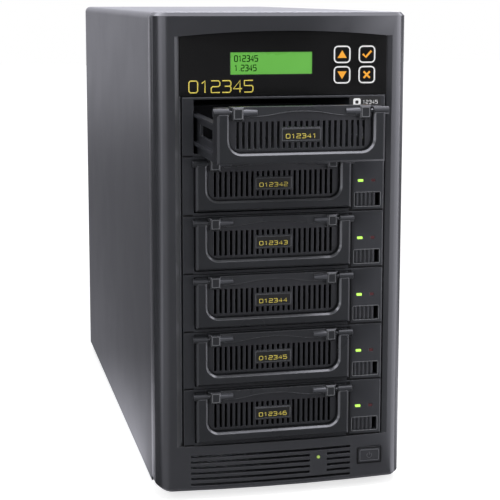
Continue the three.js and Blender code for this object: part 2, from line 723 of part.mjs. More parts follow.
function keyBoard() {
  const tip = KEY_BACK + KEY_TRAVEL + CLEARANCE / 2;
  const switchFront = tip + KEY_TRAVEL;
  const board = switchFront + SWITCH_HEIGHT;
  const postX = KEY_BOARD_WIDTH / 2 - STANDOFF_RADIUS;
  const postZ = KEY_BOARD_HEIGHT / 2 - STANDOFF_RADIUS;
  let body = centredBox(
    KEYS_X, KEY_BOARD_WIDTH, board, board + BOARD_THICKNESS, KEYS_Z, KEY_BOARD_HEIGHT,
  );
  for (const place of Object.values(KEY_PLACES)) {
    const [x, z] = keyCentre(place);
    body = body
      .add(centredBox(x, SWITCH_SIZE, switchFront, board + BOARD_THICKNESS / 2, z, SWITCH_SIZE))
      .add(smallRodY(PLUNGER_RADIUS, tip, board, x, z));
    const [column, row] = place;
    body = body.add(smallRodY(
      STANDOFF_RADIUS, PANEL_BACK + CLEARANCE, board + BOARD_THICKNESS / 2,
      KEYS_X + column * postX, KEYS_Z + row * postZ,
    ));
  }
  return body;
}

// Rack housing, drawn in its own bay: z = 0 is the bay's lower edge

const CHANNEL_X0 = -BAY_HALF + CHANNEL_LEFT_INSET;
const CHANNEL_X1 = CHANNEL_X0 + CHANNEL_WIDTH;
const CHANNEL_Z0 = RACK_FLOOR;
const CHANNEL_Z1 = BAY_PITCH - RACK_ROOF;
const LOCK_X1 = BAY_HALF - LOCK_WINDOW_RIGHT_INSET;
const LOCK_X0 = LOCK_X1 - LOCK_WINDOW_WIDTH;
const LOCK_Z1 = LOCK_WINDOW_RISE + LOCK_WINDOW_HEIGHT;
const CONNECTOR_Z0 = RACK_FLOOR + CLEARANCE + SLED_CONNECTOR_RISE;
const CONNECTOR_Z1 = CONNECTOR_Z0 + SLED_CONNECTOR_HEIGHT;
const STATUS_LAMPS = [
  [READY_LED_RIGHT_INSET, READY_LED_WIDTH],
  [ACTIVITY_LED_RIGHT_INSET, ACTIVITY_LED_WIDTH],
];

function stripBevelPlan() {
  return outline([
    [CHANNEL_X1 - OVERRUN, -OVERRUN],
    [CHANNEL_X1 + STRIP_BEVEL_WIDTH, -OVERRUN],
    [CHANNEL_X1 + STRIP_BEVEL_WIDTH, 0],
    [CHANNEL_X1, STRIP_BEVEL_DEPTH],
    [CHANNEL_X1 - OVERRUN, STRIP_BEVEL_DEPTH],
  ]);
}

function rackHousing() {
  const edge = BAY_SEAM / 2;
  const bodyHalf = BAY_HALF - RACK_SIDE_INSET;
  const pocketX0 = CHANNEL_X1 + RACK_WALL;
  const pocketX1 = bodyHalf - RACK_WALL / 2;
  const windowHalf = SLED_CONNECTOR_WIDTH / 2 + 2 * CLEARANCE;
  let body = union(
    box(-BAY_HALF + edge, BAY_HALF - edge, 0, RACK_FRONT, edge, BAY_PITCH - edge),
    box(
      -bodyHalf, bodyHalf, RACK_FRONT / 2, RACK_DEPTH,
      edge + RACK_BODY_RELIEF, BAY_PITCH - edge - RACK_BODY_RELIEF,
    ),
  );
  body = body
    .subtract(box(CHANNEL_X0, CHANNEL_X1, -OVERRUN, RACK_INNER_REAR, CHANNEL_Z0, CHANNEL_Z1))
    .subtract(box(pocketX0, pocketX1, RACK_FRONT, RACK_DEPTH + OVERRUN, CHANNEL_Z0, CHANNEL_Z1))
    .subtract(box(
      TRAY_X - windowHalf, TRAY_X + windowHalf, RACK_INNER_REAR - OVERRUN, RACK_DEPTH + OVERRUN,
      CONNECTOR_Z0 - 2 * CLEARANCE, CONNECTOR_Z1 + 2 * CLEARANCE,
    ))
    .subtract(slabZ(stripBevelPlan(), CHANNEL_Z0, CHANNEL_Z1))
    .subtract(box(LOCK_X0, LOCK_X1, -OVERRUN, RACK_FRONT + OVERRUN, LOCK_WINDOW_RISE, LOCK_Z1));
  for (const [inset, width] of STATUS_LAMPS) {
    body = body.subtract(centredBox(
      BAY_HALF - inset, width, -OVERRUN, STATUS_LED_POCKET,
      STATUS_LED_RISE, STATUS_LED_HEIGHT,
    ));
  }
  return body;
}

// Ribbed lock slide: the ribs fill part of the window, a flange runs behind the strip
function lockSlider() {
  const x0 = LOCK_X0 + CLEARANCE;
  const x1 = LOCK_X1 - CLEARANCE - LOCK_TRAVEL;
  const z0 = LOCK_WINDOW_RISE + CLEARANCE;
  const z1 = LOCK_Z1 - CLEARANCE;
  const flange = RACK_FRONT + CLEARANCE;
  const back = flange + LOCK_FLANGE_DEPTH;
  const pitch = (x1 - x0) / LOCK_RIB_COUNT;
  const comb = [[x0, flange]];
  for (let rib = 0; rib < LOCK_RIB_COUNT; rib += 1) {
    const start = x0 + rib * pitch;
    const side = pitch * (1 - LOCK_RIB_SHARE) / 2;
    comb.push([start, LOCK_RIB_DEPTH], [start + side, LOCK_RIB_DEPTH]);
    comb.push([start + side, 0], [start + pitch - side, 0]);
    comb.push([start + pitch - side, LOCK_RIB_DEPTH]);
  }
  comb.push([x1, LOCK_RIB_DEPTH], [x1, flange]);
  return slabZ(outline(comb), z0, z1)
    .add(box(x0, x1, flange, back, z0 - LOCK_FLANGE, z1 + LOCK_FLANGE));
}

// Drive tray, drawn closed in its own bay and centred on x = 0

const SLED_Z0 = RACK_FLOOR + CLEARANCE;
const SLED_Z1 = SLED_Z0 + SLED_HEIGHT;

function traySled() {
  let body = box(-SLED_OUT, SLED_OUT, SLED_FRONT, SLED_REAR, SLED_Z0, SLED_Z1)
    .subtract(box(
      -SLED_IN, SLED_IN, SLED_FRONT - OVERRUN, SLED_REAR - SLED_WALL,
      SLED_Z0 + SLED_FLOOR, SLED_Z1 + OVERRUN,
    ));
  const windowSpace = (SLED_REAR - SLED_FRONT) / SLED_WINDOW_COUNT;
  const windowZ = (SLED_Z0 + SLED_LOW_RAIL_RISE + SLED_LOW_RAIL + SLED_Z1 - SLED_TOP_RAIL) / 2;
  for (let window = 0; window < SLED_WINDOW_COUNT; window += 1) {
    const y = SLED_FRONT + (window + 1 / 2) * windowSpace;
    body = body.subtract(centredBox(
      0, 2 * SLED_OUT + 2 * OVERRUN, y - SLED_WINDOW_LENGTH / 2, y + SLED_WINDOW_LENGTH / 2,
      windowZ, SLED_WINDOW_HEIGHT,
    ));
  }
  for (const side of [-1, 1]) {
    const x0 = side > 0 ? SLED_OUT - SLED_WALL / 2 : -RAIL_OUT;
    const x1 = side > 0 ? RAIL_OUT : -SLED_OUT + SLED_WALL / 2;
    const low = SLED_Z0 + SLED_LOW_RAIL_RISE;
    body = body
      .add(box(x0, x1, SLED_FRONT, SLED_REAR, SLED_Z1 - SLED_TOP_RAIL, SLED_Z1))
      .add(box(x0, x1, SLED_FRONT, SLED_REAR, low, low + SLED_LOW_RAIL));
  }
  return body.add(box(
    -SLED_CONNECTOR_WIDTH / 2, SLED_CONNECTOR_WIDTH / 2, SLED_REAR - SLED_WALL / 2, SLED_END,
    CONNECTOR_Z0, CONNECTOR_Z1,
  ));
}

const HANDLE_HALF = CHANNEL_WIDTH / 2 - TRAY_SIDE_GAP;
const HANDLE_IN = HANDLE_HALF - HANDLE_PILLAR;
const HANDLE_FRONT = -TRAY_PROUD + CLEARANCE;
const HANDLE_BACK = HANDLE_FRONT + HANDLE_THICKNESS;
const LUG_X1 = HANDLE_IN - LUG_GAP;
const LUG_X0 = LUG_X1 - LUG_WIDTH;
const SLOT_COUNT = 2 * SIDE_SLOTS + MIDDLE_SLOTS;
const SLOT_PITCH = (2 * (HANDLE_IN - SLOT_SIDE_MARGIN) - SLOT_WIDTH) / (SLOT_COUNT - 1);

function hingePin(radius, x0, x1) {
  return rodX(radius, x0, x1, PIVOT_Y, PIVOT_Z, radius, SMALL_SIDES);
}

// U-shaped handle: two pillars and a bar, ears round the pivot and a pin into each lug
function trayHandle() {
  const barTop = HANDLE_BOTTOM_RISE + HANDLE_BAR;
  const shape = new THREE.Shape();
  shape.moveTo(-HANDLE_HALF, HANDLE_BOTTOM_RISE);
  shape.lineTo(HANDLE_HALF, HANDLE_BOTTOM_RISE);
  shape.lineTo(HANDLE_HALF, PIVOT_Z);
  shape.lineTo(HANDLE_IN, PIVOT_Z);
  shape.lineTo(HANDLE_IN, barTop + HANDLE_CORNER);
  shape.absarc(
    HANDLE_IN - HANDLE_CORNER, barTop + HANDLE_CORNER, HANDLE_CORNER, 0, -Math.PI / 2, true,
  );
  shape.lineTo(-HANDLE_IN + HANDLE_CORNER, barTop);
  shape.absarc(
    -HANDLE_IN + HANDLE_CORNER, barTop + HANDLE_CORNER, HANDLE_CORNER,
    -Math.PI / 2, -Math.PI, true,
  );
  shape.lineTo(-HANDLE_IN, PIVOT_Z);
  shape.lineTo(-HANDLE_HALF, PIVOT_Z);
  const backPlane = HANDLE_BACK + HANDLE_BEVEL;
  let body = slabY(shape, HANDLE_FRONT, backPlane, HANDLE_BEVEL)
    .subtract(box(
      -HANDLE_HALF - OVERRUN, HANDLE_HALF + OVERRUN, HANDLE_BACK, backPlane + OVERRUN, 0, BAY_PITCH,
    ));
  const earOut = HANDLE_HALF + HANDLE_EAR_OVERHANG;
  const pinIn = HANDLE_IN - HINGE_PIN_REACH;
  for (const [ear0, ear1, pin0, pin1] of [
    [HANDLE_IN, earOut, pinIn, HANDLE_IN + OVERRUN],
    [-earOut, -HANDLE_IN, -HANDLE_IN - OVERRUN, -pinIn],
  ]) {
    body = body
      .add(rodX(HANDLE_EAR_RADIUS, ear0, ear1, PIVOT_Y, PIVOT_Z))
      .add(hingePin(HINGE_PIN_RADIUS, pin0, pin1));
  }
  return body;
}

// Plate above the grille with its waved lower edge
function hoodShape() {
  const half = HANDLE_IN - GRILLE_MARGIN;
  const wave = HOOD_WAVE_WIDTH / 2;
  const edge = HANDLE_TOP - HOOD_HEIGHT;
  const crest = edge + HOOD_RISE;
  const shape = new THREE.Shape();
  shape.moveTo(-half, edge);
  shape.lineTo(-wave, edge);
  shape.bezierCurveTo(-wave / 2, edge, -wave / 2, crest, 0, crest);
  shape.bezierCurveTo(wave / 2, crest, wave / 2, edge, wave, edge);
  shape.lineTo(half, edge);
  shape.lineTo(half, HANDLE_TOP);
  shape.lineTo(-half, HANDLE_TOP);
  return shape;
}

// The grille: full slots at the sides, short slots above and below the label plate
function grilleSlots(front, back) {
  const top = SLOT_BOTTOM + SLOT_HEIGHT;
  const cuts = [];
  for (let slot = 0; slot < SLOT_COUNT; slot += 1) {
    const x = (slot - (SLOT_COUNT - 1) / 2) * SLOT_PITCH;
    const x0 = x - SLOT_WIDTH / 2;
    const x1 = x + SLOT_WIDTH / 2;
    if (slot < SIDE_SLOTS || slot >= SLOT_COUNT - SIDE_SLOTS) {
      cuts.push(box(x0, x1, front, back, SLOT_BOTTOM, top));
    } else {
      cuts.push(box(x0, x1, front, back, SLOT_BOTTOM, SLOT_BOTTOM + SHORT_SLOT_HEIGHT));
      cuts.push(box(x0, x1, front, back, top - SHORT_SLOT_HEIGHT, top));
    }
  }
  return union(...cuts);
}

function trayFront() {
  const face = -TRAY_PROUD;
  const plateFront = HANDLE_BACK + CLEARANCE;
  const plateBack = plateFront + FRONT_WALL;
  const blockBack = face + FRONT_BACK;
  const blockTop = BAY_PITCH - FRONT_BLOCK_DROP;
  const blockHalf = HANDLE_HALF - FRONT_SIDE_RELIEF;
  const grilleFront = face + GRILLE_RECESS;
  const grilleHalf = HANDLE_IN - GRILLE_MARGIN;
  const grilleBottom = HANDLE_BOTTOM_RISE + HANDLE_BAR + GRILLE_MARGIN;
  const labelHalf = MIDDLE_SLOTS * SLOT_PITCH / 2;
  const labelBottom = SLOT_BOTTOM + SHORT_SLOT_HEIGHT + LABEL_MARGIN;
  const labelTop = SLOT_BOTTOM + SLOT_HEIGHT - SHORT_SLOT_HEIGHT - LABEL_MARGIN;
  let body = union(
    box(
      -blockHalf, blockHalf, plateFront, blockBack,
      HANDLE_BOTTOM_RISE + FRONT_SIDE_RELIEF, blockTop,
    ),
    slabY(
      roundedRectangle(
        -grilleHalf, grilleHalf, grilleBottom, HANDLE_TOP, 0, HANDLE_CORNER - GRILLE_MARGIN,
      ),
      grilleFront, -CLEARANCE,
    ),
    slabY(hoodShape(), face + HOOD_RECESS, -CLEARANCE, 0, FINE_STEPS),
    box(
      -labelHalf, labelHalf, grilleFront - LABEL_PROUD, grilleFront + LABEL_PROUD,
      labelBottom, labelTop,
    ),
  );
  body = body
    .subtract(box(
      -SLED_IN, SLED_IN, plateBack, blockBack + OVERRUN,
      HANDLE_BOTTOM_RISE + FRONT_WALL, blockTop - FRONT_WALL,
    ))
    .subtract(grilleSlots(face, plateBack + OVERRUN));
  for (const side of [-1, 1]) {
    const x0 = side > 0 ? LUG_X0 : -LUG_X1;
    const barrelTip = LUG_X0 - BARREL_LENGTH;
    const barrel = side > 0
      ? rodX(BARREL_END_RADIUS, barrelTip, LUG_X0 + LUG_BEVEL, PIVOT_Y, PIVOT_Z, BARREL_RADIUS)
      : rodX(BARREL_RADIUS, -LUG_X0 - LUG_BEVEL, -barrelTip, PIVOT_Y, PIVOT_Z, BARREL_END_RADIUS);
    const lug = roundedRectangle(x0, x0 + LUG_WIDTH, HANDLE_TOP - LUG_HEIGHT, HANDLE_TOP, 0, 0);
    body = body
      .add(barrel)
      .add(slabY(lug, face + LUG_RECESS, plateFront + OVERRUN, LUG_BEVEL))
      .subtract(hingePin(
        HINGE_PIN_RADIUS + CLEARANCE,
        side > 0 ? HANDLE_IN - HINGE_PIN_REACH - CLEARANCE : -HANDLE_IN,
        side > 0 ? HANDLE_IN : -HANDLE_IN + HINGE_PIN_REACH + CLEARANCE,
      ));
  }
  return body;
}

// One tall backplane board, with a connector through each rack's rear window
function backplane() {
  const board = RACK_DEPTH + CLEARANCE;
  const half = SLED_CONNECTOR_WIDTH / 2;
  let body = box(
    TRAY_X - BACKPLANE_WIDTH / 2, TRAY_X + BACKPLANE_WIDTH / 2, board, board + BOARD_THICKNESS,
    BAYS_Z + RACK_FLOOR, PANEL_Z - RACK_ROOF,
  );
  for (let bay = 0; bay < BAY_COUNT; bay += 1) {
    const z = BAYS_Z + bay * BAY_PITCH;
    body = body.add(box(
      TRAY_X - half, TRAY_X + half, SLED_END + BACKPLANE_CONNECTOR_GAP, board + BOARD_THICKNESS / 2,
      z + CONNECTOR_Z0, z + CONNECTOR_Z1,
    ));
  }
  return body;
}

// Bay cage: two side plates with bottom flanges, a shelf under the racks and one under the board

const SHELF_TOP = PANEL_Z + CLEARANCE + SHEET;

function bayCage() {
  const floor = BASE_Z + SHEET + CLEARANCE;
  const top = HEADER_Z;
  const parts = [
    box(-CAGE_OUT, CAGE_OUT, CAGE_FRONT, RACK_DEPTH, BAYS_Z - SHEET, BAYS_Z),
    box(-CAGE_OUT, CAGE_OUT, SEAM_DEPTH, RACK_DEPTH, SHELF_TOP - SHEET, SHELF_TOP),
  ];
  for (const [x0, x1, flange0, flange1] of [
    [CAGE_IN, CAGE_OUT, CAGE_OUT - CAGE_FLANGE, CAGE_OUT],
    [-CAGE_OUT, -CAGE_IN, -CAGE_OUT, -CAGE_OUT + CAGE_FLANGE],
  ]) {
    parts.push(box(x0, x1, CAGE_FRONT, RACK_DEPTH, BAYS_Z - SHEET, top));
    parts.push(box(x0, x1, SEAM_DEPTH, RACK_DEPTH, floor, BAYS_Z));
    parts.push(box(flange0, flange1, SEAM_DEPTH, RACK_DEPTH, floor, floor + SHEET));
    parts.push(box(flange0, flange1, SEAM_DEPTH, RACK_DEPTH, top - SHEET, top));
  }
  return union(...parts);
}

// Copy controller: board on standoffs, chips, a finned heat sink and a row of drive ports
function controlBoard() {
  const z0 = SHELF_TOP + CLEARANCE;
  const z1 = z0 + STANDOFF_HEIGHT;
  const top = z1 + BOARD_THICKNESS;
  const half = CONTROL_BOARD_WIDTH / 2;
  const rear = CONTROL_BOARD_FRONT + CONTROL_BOARD_LENGTH;
  const mid = (CONTROL_BOARD_FRONT + rear) / 2;
  let body = box(-half, half, CONTROL_BOARD_FRONT, rear, z1, top);
  for (const x of [-half + 2 * STANDOFF_RADIUS, half - 2 * STANDOFF_RADIUS]) {
    for (const y of [CONTROL_BOARD_FRONT + 2 * STANDOFF_RADIUS, rear - 2 * STANDOFF_RADIUS]) {
      body = body.add(rodZ(
        STANDOFF_RADIUS, z0, z1 + BOARD_THICKNESS / 2, x, y, STANDOFF_RADIUS, SMALL_SIDES,
      ));
    }
  }
  const chipX = HEATSINK_SIZE / 2 + CHIP_GAP + CHIP_SIZE / 2;
  for (const x of [-chipX, chipX]) {
    body = body.add(box(
      x - CHIP_SIZE / 2, x + CHIP_SIZE / 2, mid - CHIP_SIZE / 2, mid + CHIP_SIZE / 2,
      top - BOARD_THICKNESS / 2, top + CHIP_HEIGHT,
    ));
  }
  body = body.add(box(
    -HEATSINK_SIZE / 2, HEATSINK_SIZE / 2, mid - HEATSINK_SIZE / 2, mid + HEATSINK_SIZE / 2,
    top - BOARD_THICKNESS / 2, top + CHIP_HEIGHT,
  ));
  const finPitch = (HEATSINK_SIZE - HEATSINK_FIN) / (HEATSINK_FINS - 1);
  for (let fin = 0; fin < HEATSINK_FINS; fin += 1) {
    const x = -HEATSINK_SIZE / 2 + fin * finPitch;
    body = body.add(box(
      x, x + HEATSINK_FIN, mid - HEATSINK_SIZE / 2, mid + HEATSINK_SIZE / 2,
      top, top + HEATSINK_HEIGHT,
    ));
  }
  for (let port = 0; port < PORT_COUNT; port += 1) {
    const x = (port - (PORT_COUNT - 1) / 2) * PORT_PITCH;
    body = body.add(box(
      x - PORT_WIDTH / 2, x + PORT_WIDTH / 2, rear - PORT_DEPTH, rear,
      top - BOARD_THICKNESS / 2, top + PORT_HEIGHT,
    ));
  }
  return body;
}

// Chassis and cover

const SCREW_X = HALF - FLANGE_WIDTH / 2;
const SCREW_HEIGHTS = SCREW_HEIGHT_SHARES.map((share) => BASE_Z + share * (TOP_Z - BASE_Z));

function screwHoles() {
  const holes = [];
  for (const x of [-SCREW_X, SCREW_X]) {
    for (const z of SCREW_HEIGHTS) {
      holes.push(smallRodY(SCREW_RADIUS + CLEARANCE, PSU_REAR, REAR_Y + OVERRUN, x, z));
    }
  }
  return union(...holes);
}

function rearVents() {
  const cuts = [];
  for (let row = 0; row < REAR_VENT_ROWS; row += 1) {
    for (let column = 0; column < REAR_VENT_COLUMNS; column += 1) {
      cuts.push(centredBox(
        (column - (REAR_VENT_COLUMNS - 1) / 2) * REAR_VENT_PITCH_X, REAR_VENT_WIDTH,
        REAR_PANEL_Y - SHEET - OVERRUN, REAR_PANEL_Y + OVERRUN,
        BASE_Z + REAR_VENT_RISE + row * REAR_VENT_PITCH_Z, REAR_VENT_HEIGHT,
      ));
    }
  }
  return union(...cuts);
}

function fanHoles(size, x, z, y0, y1) {
  const reach = size / 2 - FAN_SCREW_INSET;
  const bore = size / 2 - FAN_RIM;
  const cuts = [rodY(bore, y0, y1, x, z, bore, BORE_SIDES)];
  for (const across of [-1, 1]) {
    for (const up of [-1, 1]) {
      cuts.push(smallRodY(FAN_SCREW_RADIUS, y0, y1, x + across * reach, z + up * reach));
    }
  }
  return union(...cuts);
}

function chassisFrame() {
  const panelShape = roundedRectangle(-CORE_HALF, CORE_HALF, BASE_Z, CORE_TOP, CORE_CORNER, 0);
  const front1 = PANEL_FRONT_Y + SHEET;
  const rear0 = REAR_PANEL_Y - SHEET;
  const openHalf = CAGE_OUT + CLEARANCE;
  const psuHalf = PSU_WIDTH / 2 - PSU_FRAME_MARGIN;
  const railX1 = CORE_HALF - CORE_CORNER;
  const frontPanel = slabY(panelShape, PANEL_FRONT_Y, front1)
    .subtract(box(
      -openHalf, openHalf, SEAM_DEPTH - OVERRUN, front1 + OVERRUN,
      BASE_Z + SHEET, HEADER_Z + CLEARANCE,
    ));
  const rearPanel = slabY(panelShape, rear0, REAR_PANEL_Y)
    .subtract(box(
      -psuHalf, psuHalf, rear0 - OVERRUN, REAR_PANEL_Y + OVERRUN,
      PSU_BOTTOM + PSU_FRAME_MARGIN, PSU_TOP - PSU_FRAME_MARGIN,
    ))
    .subtract(fanHoles(EXHAUST_SIZE, 0, EXHAUST_Z, rear0 - OVERRUN, REAR_PANEL_Y + OVERRUN))
    .subtract(rearVents())
    .subtract(screwHoles());
  const floor = box(-CORE_HALF, CORE_HALF, PANEL_FRONT_Y, REAR_PANEL_Y, BASE_Z, BASE_Z + SHEET);
  const lips = union(
    box(-CORE_HALF, -CORE_HALF + SHEET, PANEL_FRONT_Y, REAR_PANEL_Y, BASE_Z, BASE_Z + FLOOR_LIP),
    box(CORE_HALF - SHEET, CORE_HALF, PANEL_FRONT_Y, REAR_PANEL_Y, BASE_Z, BASE_Z + FLOOR_LIP),
  );
  const rails = union(
    box(-railX1, -railX1 + FLANGE_WIDTH, PANEL_FRONT_Y, REAR_PANEL_Y, CORE_TOP - SHEET, CORE_TOP),
    box(railX1 - FLANGE_WIDTH, railX1, PANEL_FRONT_Y, REAR_PANEL_Y, CORE_TOP - SHEET, CORE_TOP),
  );
  return union(frontPanel, rearPanel, floor, lips, rails);
}

// One sheet bent over the top and both sides, with a narrow flange round the rear edge
function wrapCover() {
  const skin = slabY(roundedRectangle(-HALF, HALF, BASE_Z, TOP_Z, CASE_CORNER, 0), SEAM_DEPTH, REAR_Y);
  const room = slabY(
    roundedRectangle(
      -HALF + SHEET, HALF - SHEET, BASE_Z - OVERRUN, TOP_Z - SHEET, CASE_CORNER - SHEET, 0,
    ),
    SEAM_DEPTH - OVERRUN, REAR_Y - SHEET,
  );
  const rearOpening = box(
    -HALF + FLANGE_WIDTH, HALF - FLANGE_WIDTH, REAR_Y - SHEET - OVERRUN, REAR_Y + OVERRUN,
    BASE_Z - OVERRUN, TOP_Z - FLANGE_WIDTH,
  );
  return skin.subtract(room).subtract(rearOpening).subtract(screwHoles());
}

function foot([across, along]) {
  const y = (SEAM_DEPTH + REAR_Y) / 2 + along * (COVER_DEPTH / 2 - FOOT_FRONT_INSET);
  return rodZ(FOOT_RADIUS - FOOT_TAPER, 0, FOOT_HEIGHT, across * (HALF - FOOT_INSET), y, FOOT_RADIUS);
}

// Fans, drawn with the exhaust side at y1

function fanFrame(size, x, z, y1) {
  const y0 = y1 - FAN_DEPTH;
  const half = size / 2;
  let body = slabY(
    roundedRectangle(x - half, x + half, z - half, z + half, FAN_CORNER), y0, y1, 0, 1,
  ).subtract(fanHoles(size, x, z, y0 - OVERRUN, y1 + OVERRUN));
  for (let strut = 0; strut < FAN_STRUTS; strut += 1) {
    const bar = box(
      0, half - FAN_RIM / 2, y0, y0 + FAN_BOSS_DEPTH, -FAN_STRUT_WIDTH / 2, FAN_STRUT_WIDTH / 2,
    );
    body = body.add(bar.rotate([0, (strut + 1 / 2) * 360 / FAN_STRUTS, 0]).translate([x, 0, z]));
  }
  return body
    .add(rodY(FAN_BOSS_RADIUS, y0, y0 + FAN_BOSS_DEPTH, x, z))
    .subtract(rodY(FAN_SHAFT_RADIUS + CLEARANCE, y0 - OVERRUN, y1, x, z));
}

// One blade: three sections whose pitch eases from root to tip
function fanBlade(rootRadius, tipRadius) {
  const positions = [];
  for (let station = 0; station < FAN_BLADE_STATIONS; station += 1) {
    const share = station / (FAN_BLADE_STATIONS - 1);
    const radius = THREE.MathUtils.lerp(rootRadius, tipRadius, share);
    const pitch = THREE.MathUtils.degToRad(
      THREE.MathUtils.lerp(FAN_ROOT_PITCH, FAN_TIP_PITCH, share),
    );
    const chord = THREE.MathUtils.lerp(FAN_ROOT_CHORD, FAN_TIP_CHORD, share) / 2;
    const thick = FAN_BLADE_THICKNESS / 2;
    for (const [along, over] of [[-chord, -thick], [chord, -thick], [chord, thick], [-chord, thick]]) {
      const axial = along * Math.sin(pitch) + over * Math.cos(pitch);
      const across = along * Math.cos(pitch) - over * Math.sin(pitch);
      positions.push(Math.sqrt(radius ** 2 - across ** 2), axial, across);
    }
  }
  const faces = [0, 1, 2, 0, 2, 3];
  for (let station = 0; station < FAN_BLADE_STATIONS - 1; station += 1) {
    for (let corner = 0; corner < 4; corner += 1) {
      const a = station * 4 + corner;
      const b = station * 4 + (corner + 1) % 4;
      faces.push(a, a + 4, b, b, a + 4, b + 4);
    }
  }
  const last = (FAN_BLADE_STATIONS - 1) * 4;
  faces.push(last, last + 2, last + 1, last, last + 3, last + 2);
  const geometry = new THREE.BufferGeometry();
  geometry.setAttribute("position", new THREE.Float32BufferAttribute(positions, 3));
  geometry.setIndex(faces);
  return solid(geometry);
}

function fanRotor(size, x, z, y1) {
  const hub0 = y1 - FAN_DEPTH + FAN_BOSS_DEPTH + CLEARANCE;
  const hub1 = hub0 + FAN_HUB_DEPTH;
  const tip = size / 2 - FAN_RIM - FAN_TIP_GAP;
  let body = rodY(FAN_HUB_RADIUS, hub0, hub1, 0, 0)
    .add(rodY(FAN_SHAFT_RADIUS, hub0 - FAN_SHAFT_LENGTH, hub0 + OVERRUN, 0, 0));
  const blade = fanBlade(FAN_HUB_RADIUS - 2 * FAN_BLADE_THICKNESS, tip)
    .translate([0, (hub0 + hub1) / 2, 0]);
  for (let turn = 0; turn < FAN_BLADES; turn += 1) {
    body = body.add(blade.rotate([0, turn * 360 / FAN_BLADES, 0]));
  }
  return body.translate([x, 0, z]);
}

function wireRing(radius) {
  const half = WIRE / 2;
  const profile = [[-1, -1], [1, -1], [1, 1], [-1, 1], [-1, -1]].map(
    ([out, over]) => new THREE.Vector2(radius + out * half, over * half),
  );
  return solid(new THREE.LatheGeometry(profile, GUARD_RING_SIDES));
}

// Wire guard: rings on four spokes that end in screw eyes
function exhaustGuard() {
  const ringStep = (EXHAUST_SIZE / 2 - FAN_RIM) / GUARD_RINGS;
  const reach = Math.SQRT2 * (EXHAUST_SIZE / 2 - FAN_SCREW_INSET);
  const parts = [];
  for (let ring = 1; ring <= GUARD_RINGS; ring += 1) {
    parts.push(wireRing(ring * ringStep).translate([0, GUARD_FRONT + WIRE / 2, 0]));
  }
  for (let spoke = 0; spoke < FAN_STRUTS; spoke += 1) {
    const wire = box(
      ringStep, reach, SPOKE_Y - WIRE / 2, REAR_MOST, -WIRE / 2, WIRE / 2,
    ).add(smallRodY(GUARD_EYE_RADIUS, GUARD_FRONT, REAR_MOST, reach, 0));
    parts.push(wire.rotate([0, (spoke + 1 / 2) * 360 / FAN_STRUTS, 0]));
  }
  return union(...parts).translate([0, 0, EXHAUST_Z]);
}

// Power supply

const INLET_X = PSU_WIDTH / 2 - PSU_INLET_INSET - INLET_OUT;
const INLET_Z = PSU_BOTTOM + INLET_RISE;
const ROCKER_Z = PSU_TOP - ROCKER_DROP;
const PSU_FAN_X = -PSU_WIDTH / 2 + PSU_FAN_INSET + PSU_FAN_SIZE / 2;
const PSU_FAN_Z = (PSU_BOTTOM + PSU_TOP) / 2;
const PSU_FAN_BACK = PSU_REAR - PSU_SHEET - CLEARANCE;

// Upright slots that fill the fan's circle
function psuGrille(y0, y1) {
  const radius = PSU_FAN_SIZE / 2 - FAN_RIM;
  const pitch = 2 * radius / PSU_GRILLE_SLOTS;
  const cuts = [];
  for (let slot = 0; slot < PSU_GRILLE_SLOTS; slot += 1) {
    const across = (slot - (PSU_GRILLE_SLOTS - 1) / 2) * pitch;
    const height = 2 * Math.sqrt(radius ** 2 - across ** 2);
    cuts.push(centredBox(
      PSU_FAN_X + across, pitch - PSU_GRILLE_BAR, y0, y1, PSU_FAN_Z, height,
    ));
  }
  return union(...cuts);
}

function psuCase() {
  const half = PSU_WIDTH / 2;
  const front = PSU_REAR - PSU_DEPTH;
  const wallCut0 = PSU_REAR - PSU_SHEET - OVERRUN;
  const wallCut1 = PSU_REAR + OVERRUN;
  let body = box(-half, half, front, PSU_REAR, PSU_BOTTOM, PSU_TOP)
    .subtract(box(
      -half + PSU_SHEET, half - PSU_SHEET, front + PSU_SHEET, PSU_REAR - PSU_SHEET,
      PSU_BOTTOM + PSU_SHEET, PSU_TOP - PSU_SHEET,
    ))
    .subtract(psuGrille(wallCut0, wallCut1))
    .subtract(centredBox(
      INLET_X, INLET_WIDTH + 2 * CLEARANCE, wallCut0, wallCut1,
      INLET_Z, INLET_HEIGHT + 2 * CLEARANCE,
    ))
    .subtract(centredBox(
      INLET_X, ROCKER_WIDTH + 2 * CLEARANCE, wallCut0, wallCut1,
      ROCKER_Z, ROCKER_HEIGHT + 2 * ROCKER_GAP,
    ));
  for (let vent = 0; vent < PSU_VENT_COUNT; vent += 1) {
    body = body.subtract(centredBox(
      (vent - (PSU_VENT_COUNT - 1) / 2) * PSU_VENT_PITCH, PSU_VENT_WIDTH,
      front - OVERRUN, front + PSU_SHEET + OVERRUN, PSU_FAN_Z, PSU_VENT_HEIGHT,
    ));
  }
  return body;
}

